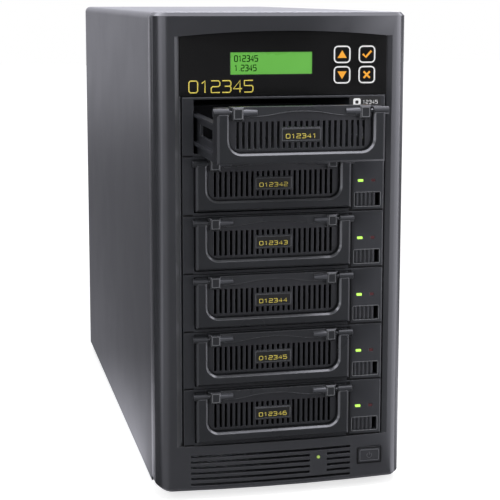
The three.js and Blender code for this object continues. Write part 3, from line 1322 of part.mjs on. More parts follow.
// The supply's board: standoffs, a transformer, two capacitors and two upright heat sinks
function psuBoard() {
  const half = PSU_WIDTH / 2 - PSU_BOARD_MARGIN;
  const front = PSU_REAR - PSU_DEPTH + PSU_BOARD_MARGIN;
  const rear = PSU_FAN_BACK - FAN_DEPTH - PSU_BOARD_MARGIN;
  const floor = PSU_BOTTOM + PSU_SHEET + CLEARANCE;
  const z0 = floor + PSU_BOARD_RISE;
  const top = z0 + BOARD_THICKNESS;
  const inside = top - BOARD_THICKNESS / 2;
  const mid = (front + rear) / 2;
  let body = box(-half, half, front, rear, z0, top)
    .add(centredBox(
      0, TRANSFORMER_WIDTH, mid - TRANSFORMER_LENGTH / 2, mid + TRANSFORMER_LENGTH / 2,
      inside + TRANSFORMER_HEIGHT / 2, TRANSFORMER_HEIGHT,
    ));
  for (const side of [-1, 1]) {
    const x = side * half / 2;
    body = body
      .add(centredBox(
        x, PSU_SINK_THICKNESS, mid - PSU_SINK_LENGTH / 2, mid + PSU_SINK_LENGTH / 2,
        inside + PSU_SINK_HEIGHT / 2, PSU_SINK_HEIGHT,
      ))
      .add(rodZ(
        CAPACITOR_RADIUS, inside, inside + CAPACITOR_HEIGHT,
        x + CAPACITOR_RADIUS + PSU_SINK_THICKNESS, mid + side * PSU_SINK_LENGTH / 4,
      ));
    for (const y of [front + 2 * STANDOFF_RADIUS, rear - 2 * STANDOFF_RADIUS]) {
      body = body.add(rodZ(
        STANDOFF_RADIUS, floor, inside, side * (half - 2 * STANDOFF_RADIUS), y,
        STANDOFF_RADIUS, SMALL_SIDES,
      ));
    }
  }
  return body;
}

// Three-pin inlet with a flange on the supply's rear wall
function powerInlet() {
  const y0 = PSU_REAR - INLET_DEPTH;
  const face = PSU_REAR + CLEARANCE;
  const mouth = face + INLET_FLANGE_THICKNESS;
  let body = centredBox(INLET_X, INLET_WIDTH, y0, mouth, INLET_Z, INLET_HEIGHT)
    .add(centredBox(
      INLET_X, 2 * INLET_OUT, face, mouth,
      INLET_Z, INLET_HEIGHT + 2 * INLET_FLANGE,
    ))
    .subtract(centredBox(
      INLET_X, INLET_WIDTH - 2 * INLET_WALL, y0 + INLET_WALL, mouth + OVERRUN,
      INLET_Z, INLET_HEIGHT - 2 * INLET_WALL,
    ));
  for (const [across, up] of INLET_PIN_SHARES) {
    body = body.add(centredBox(
      INLET_X + across * INLET_PIN_SPACING, INLET_PIN_WIDTH,
      y0 + INLET_WALL / 2, y0 + INLET_WALL + INLET_PIN_LENGTH,
      INLET_Z + up * INLET_PIN_SPACING, INLET_PIN_HEIGHT,
    ));
  }
  return body;
}

// Rocker with a hollow crown, drawn level about its pivot and turned to its resting side
function rockerSwitch() {
  const half = ROCKER_HEIGHT / 2;
  const shape = outline([
    [-ROCKER_DEPTH, -half / 2],
    [0, -half],
    [ROCKER_CROWN, -half],
    [ROCKER_CROWN / 2, 0],
    [ROCKER_CROWN, half],
    [0, half],
    [-ROCKER_DEPTH, half / 2],
  ]);
  return slabX(shape, -ROCKER_WIDTH / 2, ROCKER_WIDTH / 2)
    .rotate([ROCKER_THROW / 2, 0, 0])
    .translate([INLET_X, PSU_REAR, ROCKER_Z]);
}

// The whole duplicator, with its origin under the middle of its outer box

const duplicator = new THREE.Group();
duplicator.name = "hard_drive_duplicator";
duplicator.position.y = -(FRONT_MOST + REAR_MOST) / 2;

duplicator.add(
  mesh("chassis_frame", chassisFrame(), innerSteel),
  mesh("bay_cage", bayCage(), innerSteel),
  mesh("wrap_cover", wrapCover(), coverPaint),
  mesh("front_bezel", frontBezel(), bezelPlastic),
  mesh("control_panel", controlPanel(), glossBlack),
  mesh("lcd_module", displayModule(), displayGreen),
  mesh("key_board", keyBoard(), boardGreen),
  mesh("control_board", controlBoard(), boardGreen),
  mesh("power_button", powerButton(), bezelPlastic),
  mesh("power_switch", powerSwitch(), boardGreen),
  mesh("power_led", powerLed(), lampGreen),
  mesh("backplane", backplane(), boardGreen),
  mesh("psu_case", psuCase(), innerSteel),
  mesh("psu_board", psuBoard(), boardGreen),
  mesh("psu_fan_frame", fanFrame(PSU_FAN_SIZE, PSU_FAN_X, PSU_FAN_Z, PSU_FAN_BACK), fanBlack),
  mesh("psu_fan_rotor", fanRotor(PSU_FAN_SIZE, PSU_FAN_X, PSU_FAN_Z, PSU_FAN_BACK), fanBlack),
  mesh("power_inlet", powerInlet(), fanBlack),
  mesh("psu_switch", rockerSwitch(), fanBlack),
  mesh("exhaust_fan_frame", fanFrame(EXHAUST_SIZE, 0, EXHAUST_Z, PSU_REAR), fanBlack),
  mesh("exhaust_fan_rotor", fanRotor(EXHAUST_SIZE, 0, EXHAUST_Z, PSU_REAR), fanBlack),
  mesh("exhaust_fan_guard", exhaustGuard(), wireSteel),
);

for (const [name, place] of Object.entries(KEY_PLACES)) {
  duplicator.add(mesh(name, key(place), glossBlack));
}
for (const [name, place] of Object.entries(FOOT_PLACES)) {
  duplicator.add(mesh(name, foot(place), rubber));
}

const housing = rackHousing();
const slider = lockSlider();
const sled = traySled();
const front = trayFront();
const handle = trayHandle();

for (let bay = 1; bay <= BAY_COUNT; bay += 1) {
  const rack = new THREE.Group();
  rack.position.z = BAYS_Z + (BAY_COUNT - bay) * BAY_PITCH;
  const tray = new THREE.Group();
  tray.position.set(TRAY_X, bay === 1 ? -TRAY_PULLED : 0, 0);
  tray.add(
    mesh(`tray_sled_${bay}`, sled, rackPlastic),
    mesh(`tray_front_${bay}`, front, trayPlastic),
    mesh(`tray_handle_${bay}`, handle, handlePlastic),
  );
  rack.add(
    mesh(`rack_housing_${bay}`, housing, rackPlastic),
    mesh(`lock_slider_${bay}`, slider, rackPlastic),
    tray,
  );
  duplicator.add(rack);
}

export default duplicator;
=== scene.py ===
import json
import math

import bmesh
import bpy
from mathutils import Matrix, Vector


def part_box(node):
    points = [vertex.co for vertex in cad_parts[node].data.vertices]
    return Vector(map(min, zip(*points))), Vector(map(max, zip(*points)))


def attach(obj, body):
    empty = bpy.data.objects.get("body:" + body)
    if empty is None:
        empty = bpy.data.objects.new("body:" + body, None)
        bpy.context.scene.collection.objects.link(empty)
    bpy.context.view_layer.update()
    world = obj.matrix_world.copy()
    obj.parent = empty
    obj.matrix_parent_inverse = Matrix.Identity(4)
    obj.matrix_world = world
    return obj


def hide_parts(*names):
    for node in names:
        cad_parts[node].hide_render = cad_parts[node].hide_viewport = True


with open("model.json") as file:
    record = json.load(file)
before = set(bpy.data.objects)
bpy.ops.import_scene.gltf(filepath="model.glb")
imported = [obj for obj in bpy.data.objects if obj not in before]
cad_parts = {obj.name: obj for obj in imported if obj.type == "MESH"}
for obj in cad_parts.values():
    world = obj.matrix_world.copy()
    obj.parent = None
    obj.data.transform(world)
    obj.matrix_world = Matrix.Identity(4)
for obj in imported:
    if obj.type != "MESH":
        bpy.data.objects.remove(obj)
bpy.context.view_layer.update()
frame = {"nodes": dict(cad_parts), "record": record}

# Lengths are written in millimetres times MM, angles in degrees
MM = 0.001
BAYS = range(1, 7)
CHASSIS = "chassis"

# Camera, as fitted to the edges of the case and the bays
CAMERA_PLACE = (-237.2, -1117.9, 363.4)
CAMERA_YAW = 12.781
CAMERA_PITCH = 8.136
CAMERA_ROLL = 0.077
CAMERA_FOCAL_PIXELS = 1363.9
CAMERA_SHIFT_PIXELS = -60
PICTURE_PIXELS = 500
SENSOR_WIDTH = 36

# Light levels, where 1 is white
SOFT_LEVEL = 0.4
ABOVE_LEVEL = 0.6
OVERHEAD_LEVEL = 4.2
MIRROR_TINT = (0.97, 0.965, 1.07)

# How steeply a mirrored ray rises where it leaves the side bands, and where it meets the overhead
BANDS_TOP_SHARES = (0.05, 0.16)
OVERHEAD_EDGE_SHARES = (0.36, 0.52)

# Softboxes: name, place, aim and size in metres, and power in watts
SOFTBOXES = (
    ("left_softbox", (-1.0, -1.45, 0.75), (0, -0.1, 0.2), (0.6, 1.1), 13),
    ("right_softbox", (1.35, -0.6, 0.5), (0, -0.1, 0.18), (0.4, 1.1), 4),
    ("top_softbox", (0.1, -0.7, 1.6), (0, -0.15, 0.2), (0.6, 0.5), 9),
)

# The studio as glossy faces mirror it: angle from the front, positive to the right, and level
MIRROR_FULL = 7.0
WORLD_STOPS = (
    (-180, 2.1), (-174, 1.3), (-169, 0.5), (-165, 0.04), (-118, 0.04), (-110, 3.3), (-52, 3.3),
    (-46, 0.1), (22, 0.1), (31, 4.6), (40, 7.0), (80, 7.0), (96, 0.5), (150, 0.3), (160, 2.5),
    (174, 2.5), (180, 2.1),
)
FLOOR_STOPS = (
    (-180, 0.4), (-172, 0.37), (-165, 0.03), (-118, 0.03), (-108, 0.6), (-75, 0.85), (-50, 0.68),
    (-25, 0.3), (9, 0.3), (17, 0.12), (20, 0.14), (28, 2.1), (38, 3.4), (85, 3.5), (98, 0.5),
    (150, 0.15), (174, 0.5), (180, 0.4),
)
MIRROR_ORIGIN = (90, -180)

# Behind the object the floor's levels grow close to it and again far away: distances in metres
FLOOR_HALF = 6.0
FLOOR_FAR = (1.5, 6.0)
FLOOR_FAR_GAIN = 3.4
FLOOR_NEAR = (0.05, 0.45)
FLOOR_NEAR_GAINS = (3.4, 0.92)
FLOOR_BEHIND = (0.0, 0.12)
FLOOR_LIFT = (0.68, 0.84)
FLOOR_LIFT_REACH = (0.4, 2.2)


# Camera and light

def make_camera():
    yaw, pitch, roll = (math.radians(a) for a in (CAMERA_YAW, CAMERA_PITCH, CAMERA_ROLL))
    forward = Vector((
        math.sin(yaw) * math.cos(pitch), math.cos(yaw) * math.cos(pitch), -math.sin(pitch),
    ))
    level = Vector((math.cos(yaw), -math.sin(yaw), 0))
    rise = level.cross(forward)
    right = level * math.cos(roll) + rise * math.sin(roll)
    up = rise * math.cos(roll) - level * math.sin(roll)
    data = bpy.data.cameras.new("camera")
    data.sensor_width = SENSOR_WIDTH
    data.lens = SENSOR_WIDTH * CAMERA_FOCAL_PIXELS / PICTURE_PIXELS
    data.shift_y = CAMERA_SHIFT_PIXELS / PICTURE_PIXELS
    camera = bpy.data.objects.new("camera", data)
    turn = Matrix((right, up, -forward)).transposed().to_4x4()
    camera.matrix_world = Matrix.Translation(Vector(CAMERA_PLACE) * MM) @ turn
    bpy.context.scene.collection.objects.link(camera)
    bpy.context.scene.camera = camera


def area_light(name, place, aim, size, power):
    """A softbox that only lights: glossy faces mirror the studio in the world and the floor."""
    data = bpy.data.lights.new(name, "AREA")
    data.shape = "RECTANGLE"
    data.size, data.size_y = size
    data.energy = power
    light = bpy.data.objects.new(name, data)
    light.location = place
    light.visible_glossy = False
    direction = Vector(aim) - Vector(place)
    light.rotation_euler = direction.to_track_quat("-Z", "Y").to_euler()
    bpy.context.scene.collection.objects.link(light)


def mirrored_level(nodes, links, across, along, stops):
    """Level of the mirrored studio in a direction that is given by its x and y parts."""
    away = math_node(nodes, links, "MULTIPLY", along, -1.0)
    angle = math_node(nodes, links, "ARCTAN2", across, away)
    turn = math_node(nodes, links, "ADD", math_node(nodes, links, "DIVIDE", angle, math.tau), 0.5)
    ramp = nodes.new("ShaderNodeValToRGB")
    links.new(turn, ramp.inputs["Fac"])
    marks = ramp.color_ramp.elements
    while len(marks) < len(stops):
        marks.new(0.5)
    for mark, (degrees, level) in zip(marks, stops):
        mark.position = degrees / 360 + 0.5
        share = level / MIRROR_FULL
        mark.color = (share, share, share, 1.0)
    return math_node(nodes, links, "MULTIPLY", ramp.outputs["Color"], MIRROR_FULL)


def make_world():
    """White to the camera, soft grey light, and bands at both sides and overhead to be mirrored."""
    world = bpy.data.worlds.new("studio")
    bpy.context.scene.world = world
    bpy.context.scene.view_settings.view_transform = "Standard"
    world.use_nodes = True
    nodes, links = world.node_tree.nodes, world.node_tree.links
    shader = nodes["Background"]
    path = nodes.new("ShaderNodeLightPath")
    split = nodes.new("ShaderNodeSeparateXYZ")
    links.new(nodes.new("ShaderNodeTexCoord").outputs["Generated"], split.inputs[0])
    round_about = mirrored_level(nodes, links, split.outputs["X"], split.outputs["Y"], WORLD_STOPS)
    above = map_range(nodes, links, split.outputs["Z"], *BANDS_TOP_SHARES, 0.0, 1.0)
    overhead = map_range(nodes, links, split.outputs["Z"], *OVERHEAD_EDGE_SHARES, 0.0, 1.0)
    mirrored = mix_values(nodes, links, above, round_about, ABOVE_LEVEL)
    mirrored = mix_values(nodes, links, overhead, mirrored, OVERHEAD_LEVEL)
    clear = math_node(
        nodes, links, "MAXIMUM", path.outputs["Is Camera Ray"], path.outputs["Is Transmission Ray"],
    )
    strength = mix_values(nodes, links, path.outputs["Is Glossy Ray"], SOFT_LEVEL, mirrored)
    strength = mix_values(nodes, links, clear, strength, 1.0)
    links.new(strength, shader.inputs["Strength"])
    links.new(
        mix_colours(nodes, links, path.outputs["Is Glossy Ray"], (1.0, 1.0, 1.0), MIRROR_TINT),
        shader.inputs["Color"],
    )


# Node helpers

def math_node(nodes, links, operation, first, second):
    node = nodes.new("ShaderNodeMath")
    node.operation = operation
    for socket, value in zip(node.inputs, (first, second)):
        if isinstance(value, (int, float)):
            socket.default_value = value
        else:
            links.new(value, socket)
    return node.outputs[0]


def map_range(nodes, links, value, low, high, to_low, to_high):
    node = nodes.new("ShaderNodeMapRange")
    node.interpolation_type = "SMOOTHSTEP"
    links.new(value, node.inputs["Value"])
    for name, number in (
        ("From Min", low), ("From Max", high), ("To Min", to_low), ("To Max", to_high),
    ):
        node.inputs[name].default_value = number
    return node.outputs["Result"]


def mix_values(nodes, links, factor, first, second):
    node = nodes.new("ShaderNodeMix")
    for socket, value in zip(node.inputs[:4], (factor, None, first, second)):
        if isinstance(value, (int, float)):
            socket.default_value = value
        elif value is not None:
            links.new(value, socket)
    return node.outputs[0]


def noise(nodes, links, place, scale, detail):
    node = nodes.new("ShaderNodeTexNoise")
    node.inputs["Scale"].default_value = scale
    node.inputs["Detail"].default_value = detail
    links.new(place, node.inputs["Vector"])
    return node.outputs["Fac"]


def mix_colours(nodes, links, factor, first, second):
    node = nodes.new("ShaderNodeMix")
    node.data_type = "RGBA"
    links.new(factor, node.inputs[0])
    for socket, value in ((node.inputs[6], first), (node.inputs[7], second)):
        if isinstance(value, tuple):
            socket.default_value = (*value, 1.0)
        else:
            links.new(value, socket)
    return node.outputs[2]


def scaled(colour, share):
    return tuple(channel * share for channel in colour)


# Finishes: sizes of grain and edges, and how the edges pale into a painted highlight
PAINT_EDGE = 0.35
MOULD_EDGE = 0.6
TRIM_EDGE = 0.3
OUTLINE_EDGE = 0.2
HANDLE_EDGE = 0.45
RIM_EDGE = 0.9
INK_EDGE = 0.1
GRAIN_HEIGHT = 0.1
BEVEL_SAMPLES = 4
BROAD_SCALE = 22.0
BROAD_DETAIL = 3.0
FINE_DETAIL = 2.0
BROAD_SHARES = (0.3, 0.7)
FINE_SHARES = (0.35, 0.65)
SPECK_SHARE = 0.35
HIGHLIGHT_BEND_SHARES = (0.99, 0.8)
HIGHLIGHT_LIFT = 0.02
HIGHLIGHT_GAIN = 1.8


def mottled(nodes, links, colour, broad, fine, mottle):
    """The base colour, broadly mottled and finely specked."""
    patches = map_range(nodes, links, broad, *BROAD_SHARES, 0.0, 1.0)
    base = mix_colours(
        nodes, links, patches, scaled(colour, 1 - mottle), scaled(colour, 1 + mottle),
    )
    speck = map_range(nodes, links, fine, *FINE_SHARES, 0.0, 1.0)
    speck = math_node(nodes, links, "MULTIPLY", speck, SPECK_SHARE)
    return mix_colours(nodes, links, speck, base, scaled(colour, 1 + 2 * mottle))


def softened(nodes, links, edge):
    """The normal with softened edges, and how straight each place is: 1 on flat faces."""
    rounded = nodes.new("ShaderNodeBevel")
    rounded.samples = BEVEL_SAMPLES
    rounded.inputs["Radius"].default_value = edge * MM
    geometry = nodes.new("ShaderNodeNewGeometry")
    straight = nodes.new("ShaderNodeVectorMath")
    straight.operation = "DOT_PRODUCT"
    links.new(rounded.outputs["Normal"], straight.inputs[0])
    links.new(geometry.outputs["Normal"], straight.inputs[1])
    return rounded.outputs["Normal"], straight.outputs["Value"]


def grained(nodes, links, normal, fine, bump):
    relief = nodes.new("ShaderNodeBump")
    relief.inputs["Strength"].default_value = bump
    relief.inputs["Distance"].default_value = GRAIN_HEIGHT * MM
    links.new(fine, relief.inputs["Height"])
    links.new(normal, relief.inputs["Normal"])
    return relief.outputs["Normal"]


def surface(
    name, colour, roughness, *, grain=1600.0, bump=0.05, mottle=0.12, edge=PAINT_EDGE, edge_highlight=0.35,
    metallic=0.0, specular=0.5, smudge=0.08,
):
    """A moulded, painted or plated finish: fine grain, broad mottling, soft edges paled as a painted
    highlight.
    """
    material = bpy.data.materials.new(name)
    material.use_nodes = True
    nodes, links = material.node_tree.nodes, material.node_tree.links
    shader = nodes["Principled BSDF"]
    place = nodes.new("ShaderNodeTexCoord").outputs["Object"]
    broad = noise(nodes, links, place, BROAD_SCALE, BROAD_DETAIL)
    fine = noise(nodes, links, place, grain, FINE_DETAIL)
    base = mottled(nodes, links, colour, broad, fine, mottle)
    normal, straight = softened(nodes, links, edge)
    # Edges are paled towards a lighter colour: a painted highlight on the rounded edges
    edge_highlight_share = map_range(nodes, links, straight, *HIGHLIGHT_BEND_SHARES, 0.0, edge_highlight)
    pale = tuple(min(1.0, HIGHLIGHT_LIFT + channel * HIGHLIGHT_GAIN) for channel in colour)
    links.new(mix_colours(nodes, links, edge_highlight_share, base, pale), shader.inputs["Base Color"])
    links.new(
        map_range(nodes, links, broad, *BROAD_SHARES, roughness - smudge, roughness + smudge),
        shader.inputs["Roughness"],
    )
    links.new(grained(nodes, links, normal, fine, bump), shader.inputs["Normal"])
    shader.inputs["Metallic"].default_value = metallic
    shader.inputs["Specular IOR Level"].default_value = specular
    return material


def glow(name, colour, strength, roughness=0.3, mottle=0.08):
    """A lit lens, or ink with a painted glow: the surface colour with some light of its own."""
    material = surface(name, colour, roughness, bump=0.0, mottle=mottle, edge_highlight=0.0, edge=INK_EDGE)
    shader = material.node_tree.nodes["Principled BSDF"]
    shader.inputs["Emission Color"].default_value = (*colour, 1.0)
    shader.inputs["Emission Strength"].default_value = strength
    return material


# Materials

COVER = surface(
    "cover_paint", (0.040, 0.041, 0.045), 0.34, grain=650.0, bump=0.22, mottle=0.03, smudge=0.012,
)
BEZEL = surface("bezel_plastic", (0.030, 0.031, 0.035), 0.22, bump=0.08, mottle=0.04, smudge=0.02)
# Paler bezel plastic on the left bevel of the opening: a painted highlight
BEZEL_BEVEL_HIGHLIGHT = surface(
    "bezel_bevel_highlight", (0.066, 0.067, 0.072), 0.4, bump=0.08, mottle=0.04, specular=0.2, smudge=0.02,
)
RACK = surface(
    "rack_plastic", (0.022, 0.023, 0.026), 0.36, bump=0.08, mottle=0.06, edge=MOULD_EDGE, specular=0.32,
    smudge=0.03, edge_highlight=0.9,
)
# Pale grey: painted highlight on the label frames, the hoods' waved edges, the racks' right and top
# edges and the button's inner outline; the printed power sign's colour
HIGHLIGHT_AND_PRINT_GREY = surface(
    "highlight_and_print_grey", (0.060, 0.062, 0.068), 0.3, bump=0.04, mottle=0.06, edge=TRIM_EDGE, smudge=0.03,
)
# Pale trim on the lug outlines and lock rims: a painted highlight
OUTLINE_HIGHLIGHT = surface(
    "outline_painted_highlight", (0.11, 0.113, 0.12), 0.3, bump=0.03, mottle=0.06, edge=OUTLINE_EDGE, smudge=0.03,
)
TRAY = surface(
    "tray_plastic", (0.017, 0.018, 0.020), 0.28, bump=0.06, mottle=0.06, edge=MOULD_EDGE,
    smudge=0.03, edge_highlight=0.8,
)
SHADOW = surface("reveal_shadow", (0.003, 0.003, 0.003), 0.7, bump=0.02, edge_highlight=0.0, specular=0.1)
# Darker plastic in the recessed grille: painted shade
GRILLE_SHADE = surface(
    "grille_painted_shade", (0.010, 0.0105, 0.012), 0.36, bump=0.06, mottle=0.06, edge=TRIM_EDGE,
    smudge=0.03,
)
LUG = surface(
    "lug_plastic", (0.018, 0.019, 0.021), 0.22, bump=0.03, mottle=0.05, edge=MOULD_EDGE,
    smudge=0.02, edge_highlight=0.9,
)
BARREL = surface(
    "barrel_polished", (0.046, 0.048, 0.055), 0.16, bump=0.02, mottle=0.05, specular=0.65, smudge=0.02,
)
HANDLE = surface(
    "handle_plastic", (0.0165, 0.0175, 0.0195), 0.3, bump=0.05, mottle=0.05, edge=HANDLE_EDGE,
    specular=0.34, smudge=0.03, edge_highlight=0.7,
)
# Paler plastic on the handle's inner rim: a painted highlight
HANDLE_RIM_HIGHLIGHT = surface(
    "handle_rim_highlight", (0.070, 0.072, 0.078), 0.2, bump=0.03, mottle=0.05, edge=RIM_EDGE,
    specular=0.8, smudge=0.02,
)
STICKER = surface(
    "label_black", (0.008, 0.008, 0.007), 0.3, bump=0.01, edge_highlight=0.0, edge=INK_EDGE, smudge=0.02,
)
PANEL = surface(
    "panel_gloss", (0.0075, 0.0075, 0.0075), 0.14, bump=0.01, mottle=0.05, specular=0.35, smudge=0.03,
    edge_highlight=0.1,
)
STEEL = surface(
    "inner_steel", (0.42, 0.43, 0.44), 0.34, grain=400.0, bump=0.05, mottle=0.04, metallic=0.9,
    smudge=0.03,
)
BOARD = surface("circuit_board", (0.02, 0.11, 0.045), 0.45, grain=900.0, mottle=0.2)
CHIP = surface("chip_black", (0.012, 0.012, 0.013), 0.5)
ALUMINIUM = surface("heat_sink", (0.6, 0.61, 0.62), 0.35, metallic=1.0)
CONNECTOR = surface("connector_plastic", (0.02, 0.02, 0.022), 0.45)
TRANSFORMER = surface("transformer_tape", (0.42, 0.28, 0.03), 0.35, mottle=0.08)
FAN = surface("fan_black", (0.011, 0.011, 0.012), 0.42, bump=0.06)
WIRE = surface("plated_wire", (0.66, 0.67, 0.69), 0.2, metallic=1.0, mottle=0.04, bump=0.02)
SCREW = surface("screw_zinc", (0.5, 0.5, 0.5), 0.3, metallic=1.0, mottle=0.08)
RUBBER = surface("foot_rubber", (0.012, 0.012, 0.012), 0.7, grain=700.0, bump=0.2)
DISPLAY = glow("display_green", (0.105, 0.36, 0.052), 0.35, roughness=0.3, mottle=0.015)
DISPLAY_INK = surface("display_ink", (0.005, 0.036, 0.003), 0.6, edge_highlight=0.0, edge=INK_EDGE, specular=0.05)
LAMP_GREEN = glow("lamp_green", (0.40, 0.74, 0.10), 1.0)
LAMP_DOME = glow("lamp_dome", (0.25, 0.35, 0.08), 0.6, roughness=0.15)
LAMP_RED = surface("lamp_red", (0.06, 0.012, 0.014), 0.25, edge_highlight=0.0, edge=INK_EDGE, bump=0.0)
INK_WHITE = surface("ink_white", (0.85, 0.85, 0.85), 0.4, bump=0.02, edge_highlight=0.0, edge=INK_EDGE)
# Printed inks with a faint glow of their own: painted light, they are no lamps
AMBER_INK_PAINTED_GLOW = glow("ink_amber_painted_glow", (0.85, 0.36, 0.03), 0.15, roughness=0.4)
YELLOW_INK_PAINTED_GLOW = glow("ink_yellow_painted_glow", (0.66, 0.54, 0.09), 0.13, roughness=0.4)


def floor_gain(nodes, links, along, distance):
    """How much brighter the floor is mirrored: only behind the object, near it and far away."""
    behind = map_range(nodes, links, along, *FLOOR_BEHIND, 0.0, 1.0)
    near = map_range(nodes, links, along, *FLOOR_NEAR, *FLOOR_NEAR_GAINS)
    far = map_range(nodes, links, distance, *FLOOR_FAR, 1.0, FLOOR_FAR_GAIN)
    return mix_values(nodes, links, behind, 1.0, math_node(nodes, links, "MULTIPLY", near, far))


def floor_levels(nodes, links):
    """Levels of the floor as glossy faces mirror it, and as the camera sees it."""
    split = nodes.new("ShaderNodeSeparateXYZ")
    links.new(nodes.new("ShaderNodeTexCoord").outputs["Object"], split.inputs[0])
    half, front = (length * MM for length in MIRROR_ORIGIN)
    beside = math_node(nodes, links, "MAXIMUM", split.outputs["X"], -half)
    beside = math_node(nodes, links, "MINIMUM", beside, half)
    across = math_node(nodes, links, "SUBTRACT", split.outputs["X"], beside)
    along = math_node(nodes, links, "SUBTRACT", split.outputs["Y"], front)
    squares = [math_node(nodes, links, "MULTIPLY", part, part) for part in (across, along)]
    distance = math_node(nodes, links, "SQRT", math_node(nodes, links, "ADD", *squares), 0.0)
    gain = floor_gain(nodes, links, along, distance)
    level = mirrored_level(nodes, links, across, along, FLOOR_STOPS)
    lift = map_range(nodes, links, distance, *FLOOR_LIFT_REACH, *FLOOR_LIFT)
    return math_node(nodes, links, "MULTIPLY", level, gain), lift


def pale_floor():
    """White to the camera, with the object's shadow: glossy faces see the studio go on in it."""
    material = surface("pale_floor", (0.8, 0.8, 0.8), 0.8, grain=60.0, bump=0.0, mottle=0.01, edge_highlight=0.0)
    nodes, links = material.node_tree.nodes, material.node_tree.links
    shader = nodes["Principled BSDF"]
    path = nodes.new("ShaderNodeLightPath")
    glossy = path.outputs["Is Glossy Ray"]
    level, lift = floor_levels(nodes, links)
    strength = math_node(nodes, links, "MULTIPLY", path.outputs["Is Camera Ray"], lift)
    links.new(
        mix_values(nodes, links, glossy, strength, level), shader.inputs["Emission Strength"],
    )
    links.new(
        mix_colours(nodes, links, glossy, (1.0, 1.0, 1.0), MIRROR_TINT),
        shader.inputs["Emission Color"],
    )
    white = shader.inputs["Base Color"].links[0].from_socket
    links.new(mix_colours(nodes, links, glossy, white, (0.0, 0.0, 0.0)), shader.inputs["Base Color"])
    shader.inputs["Specular IOR Level"].default_value = 0.0
    return material


FLOOR = pale_floor()


# Pieces: a trim on a front face sinks a little into it

WELD = 0.002
FLAT_ANGLE = 0.5
SMOOTH_ANGLE = 28
SINK = 0.05


def mesh_object(name, bm, materials, body):
    mesh = bpy.data.meshes.new(name)
    bm.to_mesh(mesh)
    bm.free()
    for material in materials:
        mesh.materials.append(material)
    piece = bpy.data.objects.new(name, mesh)
    bpy.context.scene.collection.objects.link(piece)
    if body is not None:
        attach(piece, body)
    return piece


def body_of(node):
    bodies = frame["record"]["behaviour"]["bodies"]
    return next(name for name, members in bodies.items() if node in members)


def smooth_edges(bm, angle):
    for edge in bm.edges:
        edge.smooth = edge.is_manifold and edge.calc_face_angle(math.pi) < math.radians(angle)


def dress(node, slot, *materials, choose=None):
    """A node's own shape with smooth round faces and its finishes, standing for the node.

    choose gives the number of a face's finish from the face's centre and normal.
    """
    bm = bmesh.new()
    bm.from_mesh(frame["nodes"][node].data)
    bmesh.ops.remove_doubles(bm, verts=bm.verts, dist=WELD * MM)
    bmesh.ops.dissolve_limit(
        bm, angle_limit=math.radians(FLAT_ANGLE), verts=bm.verts, edges=bm.edges,
        use_dissolve_boundaries=False,
    )
    for face in bm.faces:
        face.smooth = True
        if choose is not None:
            face.material_index = choose(face.calc_center_median() / MM, face.normal)
    smooth_edges(bm, SMOOTH_ANGLE)
    piece = mesh_object("dressed_" + node, bm, materials, body_of(node))
    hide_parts(node)
    return piece


def prism(bm, points, y0, y1, material=0):
    """Adds a closed prism to a bmesh: the points are x and z, anticlockwise seen from the front."""
    front = [bm.verts.new((x, y0, z)) for x, z in points]
    back = [bm.verts.new((x, y1, z)) for x, z in points]
    faces = [bm.faces.new(front), bm.faces.new(list(reversed(back)))]
    count = len(points)
    for index in range(count):
        after = (index + 1) % count
        faces.append(bm.faces.new((front[index], back[index], back[after], front[after])))
    for face in faces:
        face.material_index = material


def rounded_rectangle(width, height, radius, steps=4):
    points = []
    for corner in range(4):
        start = math.pi + corner * math.pi / 2
        cx = (width / 2 - radius) * (1 if corner in (1, 2) else -1)
        cz = (height / 2 - radius) * (1 if corner in (2, 3) else -1)
        for step in range(steps + 1):
            angle = start + step * math.pi / 2 / steps
            points.append((cx + radius * math.cos(angle), cz + radius * math.sin(angle)))
    return points


def ring(bm, outer, inner, y0, y1):
    """Adds a flat ring between two outlines of as many points each."""
    count = len(outer)
    loops = [
        [bm.verts.new((x, y, z)) for x, z in points]
        for points, y in ((outer, y0), (inner, y0), (inner, y1), (outer, y1))
    ]
    for index in range(count):
        after = (index + 1) % count
        for near, far in zip(loops, loops[1:] + loops[:1]):
            bm.faces.new((near[index], far[index], far[after], near[after]))


def shifted(points, x, z):
    return [(px + x, pz + z) for px, pz in points]


def stroke(points, width):
    """Outline of a bent line of even width, open at both ends."""
    left, right = [], []
    for index, (x, z) in enumerate(points):
        before = points[max(index - 1, 0)]
        after = points[min(index + 1, len(points) - 1)]
        along = Vector((after[0] - before[0], after[1] - before[1])).normalized()
        side = Vector((-along.y, along.x)) * width / 2
        left.append((x + side.x, z + side.y))
        right.append((x - side.x, z - side.y))
    return right + left[::-1]


# Plain digits drawn with lines of even width, in shares of their width and height
LINE_FLAT_SHARE = 0.12
DIGIT_LINE_SHARES = {
    "0": [[(0.16, 0), (0.84, 0), (1, 0.14), (1, 0.86), (0.84, 1), (0.16, 1), (0, 0.86), (0, 0.14)]],
    "1": [[(0.2, 0.78), (0.56, 1), (0.56, 0)]],
    "2": [[
        (0, 1), (0.84, 1), (1, 0.88), (1, 0.62), (0.84, 0.5), (0.16, 0.5), (0, 0.38), (0, 0), (1, 0),
    ]],
    "3": [
        [(0, 1), (0.84, 1), (1, 0.86), (1, 0.64), (0.84, 0.52), (0.3, 0.52)],
        [(0.84, 0.52), (1, 0.4), (1, 0.14), (0.84, 0), (0, 0)],
    ],
    "4": [[(0.76, 0), (0.76, 1), (0, 0.3), (1, 0.3)]],
    "5": [[(1, 1), (0, 1), (0, 0.56), (0.84, 0.56), (1, 0.44), (1, 0.14), (0.84, 0), (0, 0)]],
    "6": [[
        (0.92, 1), (0.16, 1), (0, 0.86), (0, 0.14), (0.16, 0), (0.84, 0), (1, 0.14), (1, 0.42),
        (0.84, 0.56), (0, 0.56),
    ]],
    ".": [[(0.3, 0), (0.3, 0.07)]],
}
CLOSED_DIGITS = "0"
POINT_SHARE = 0.5


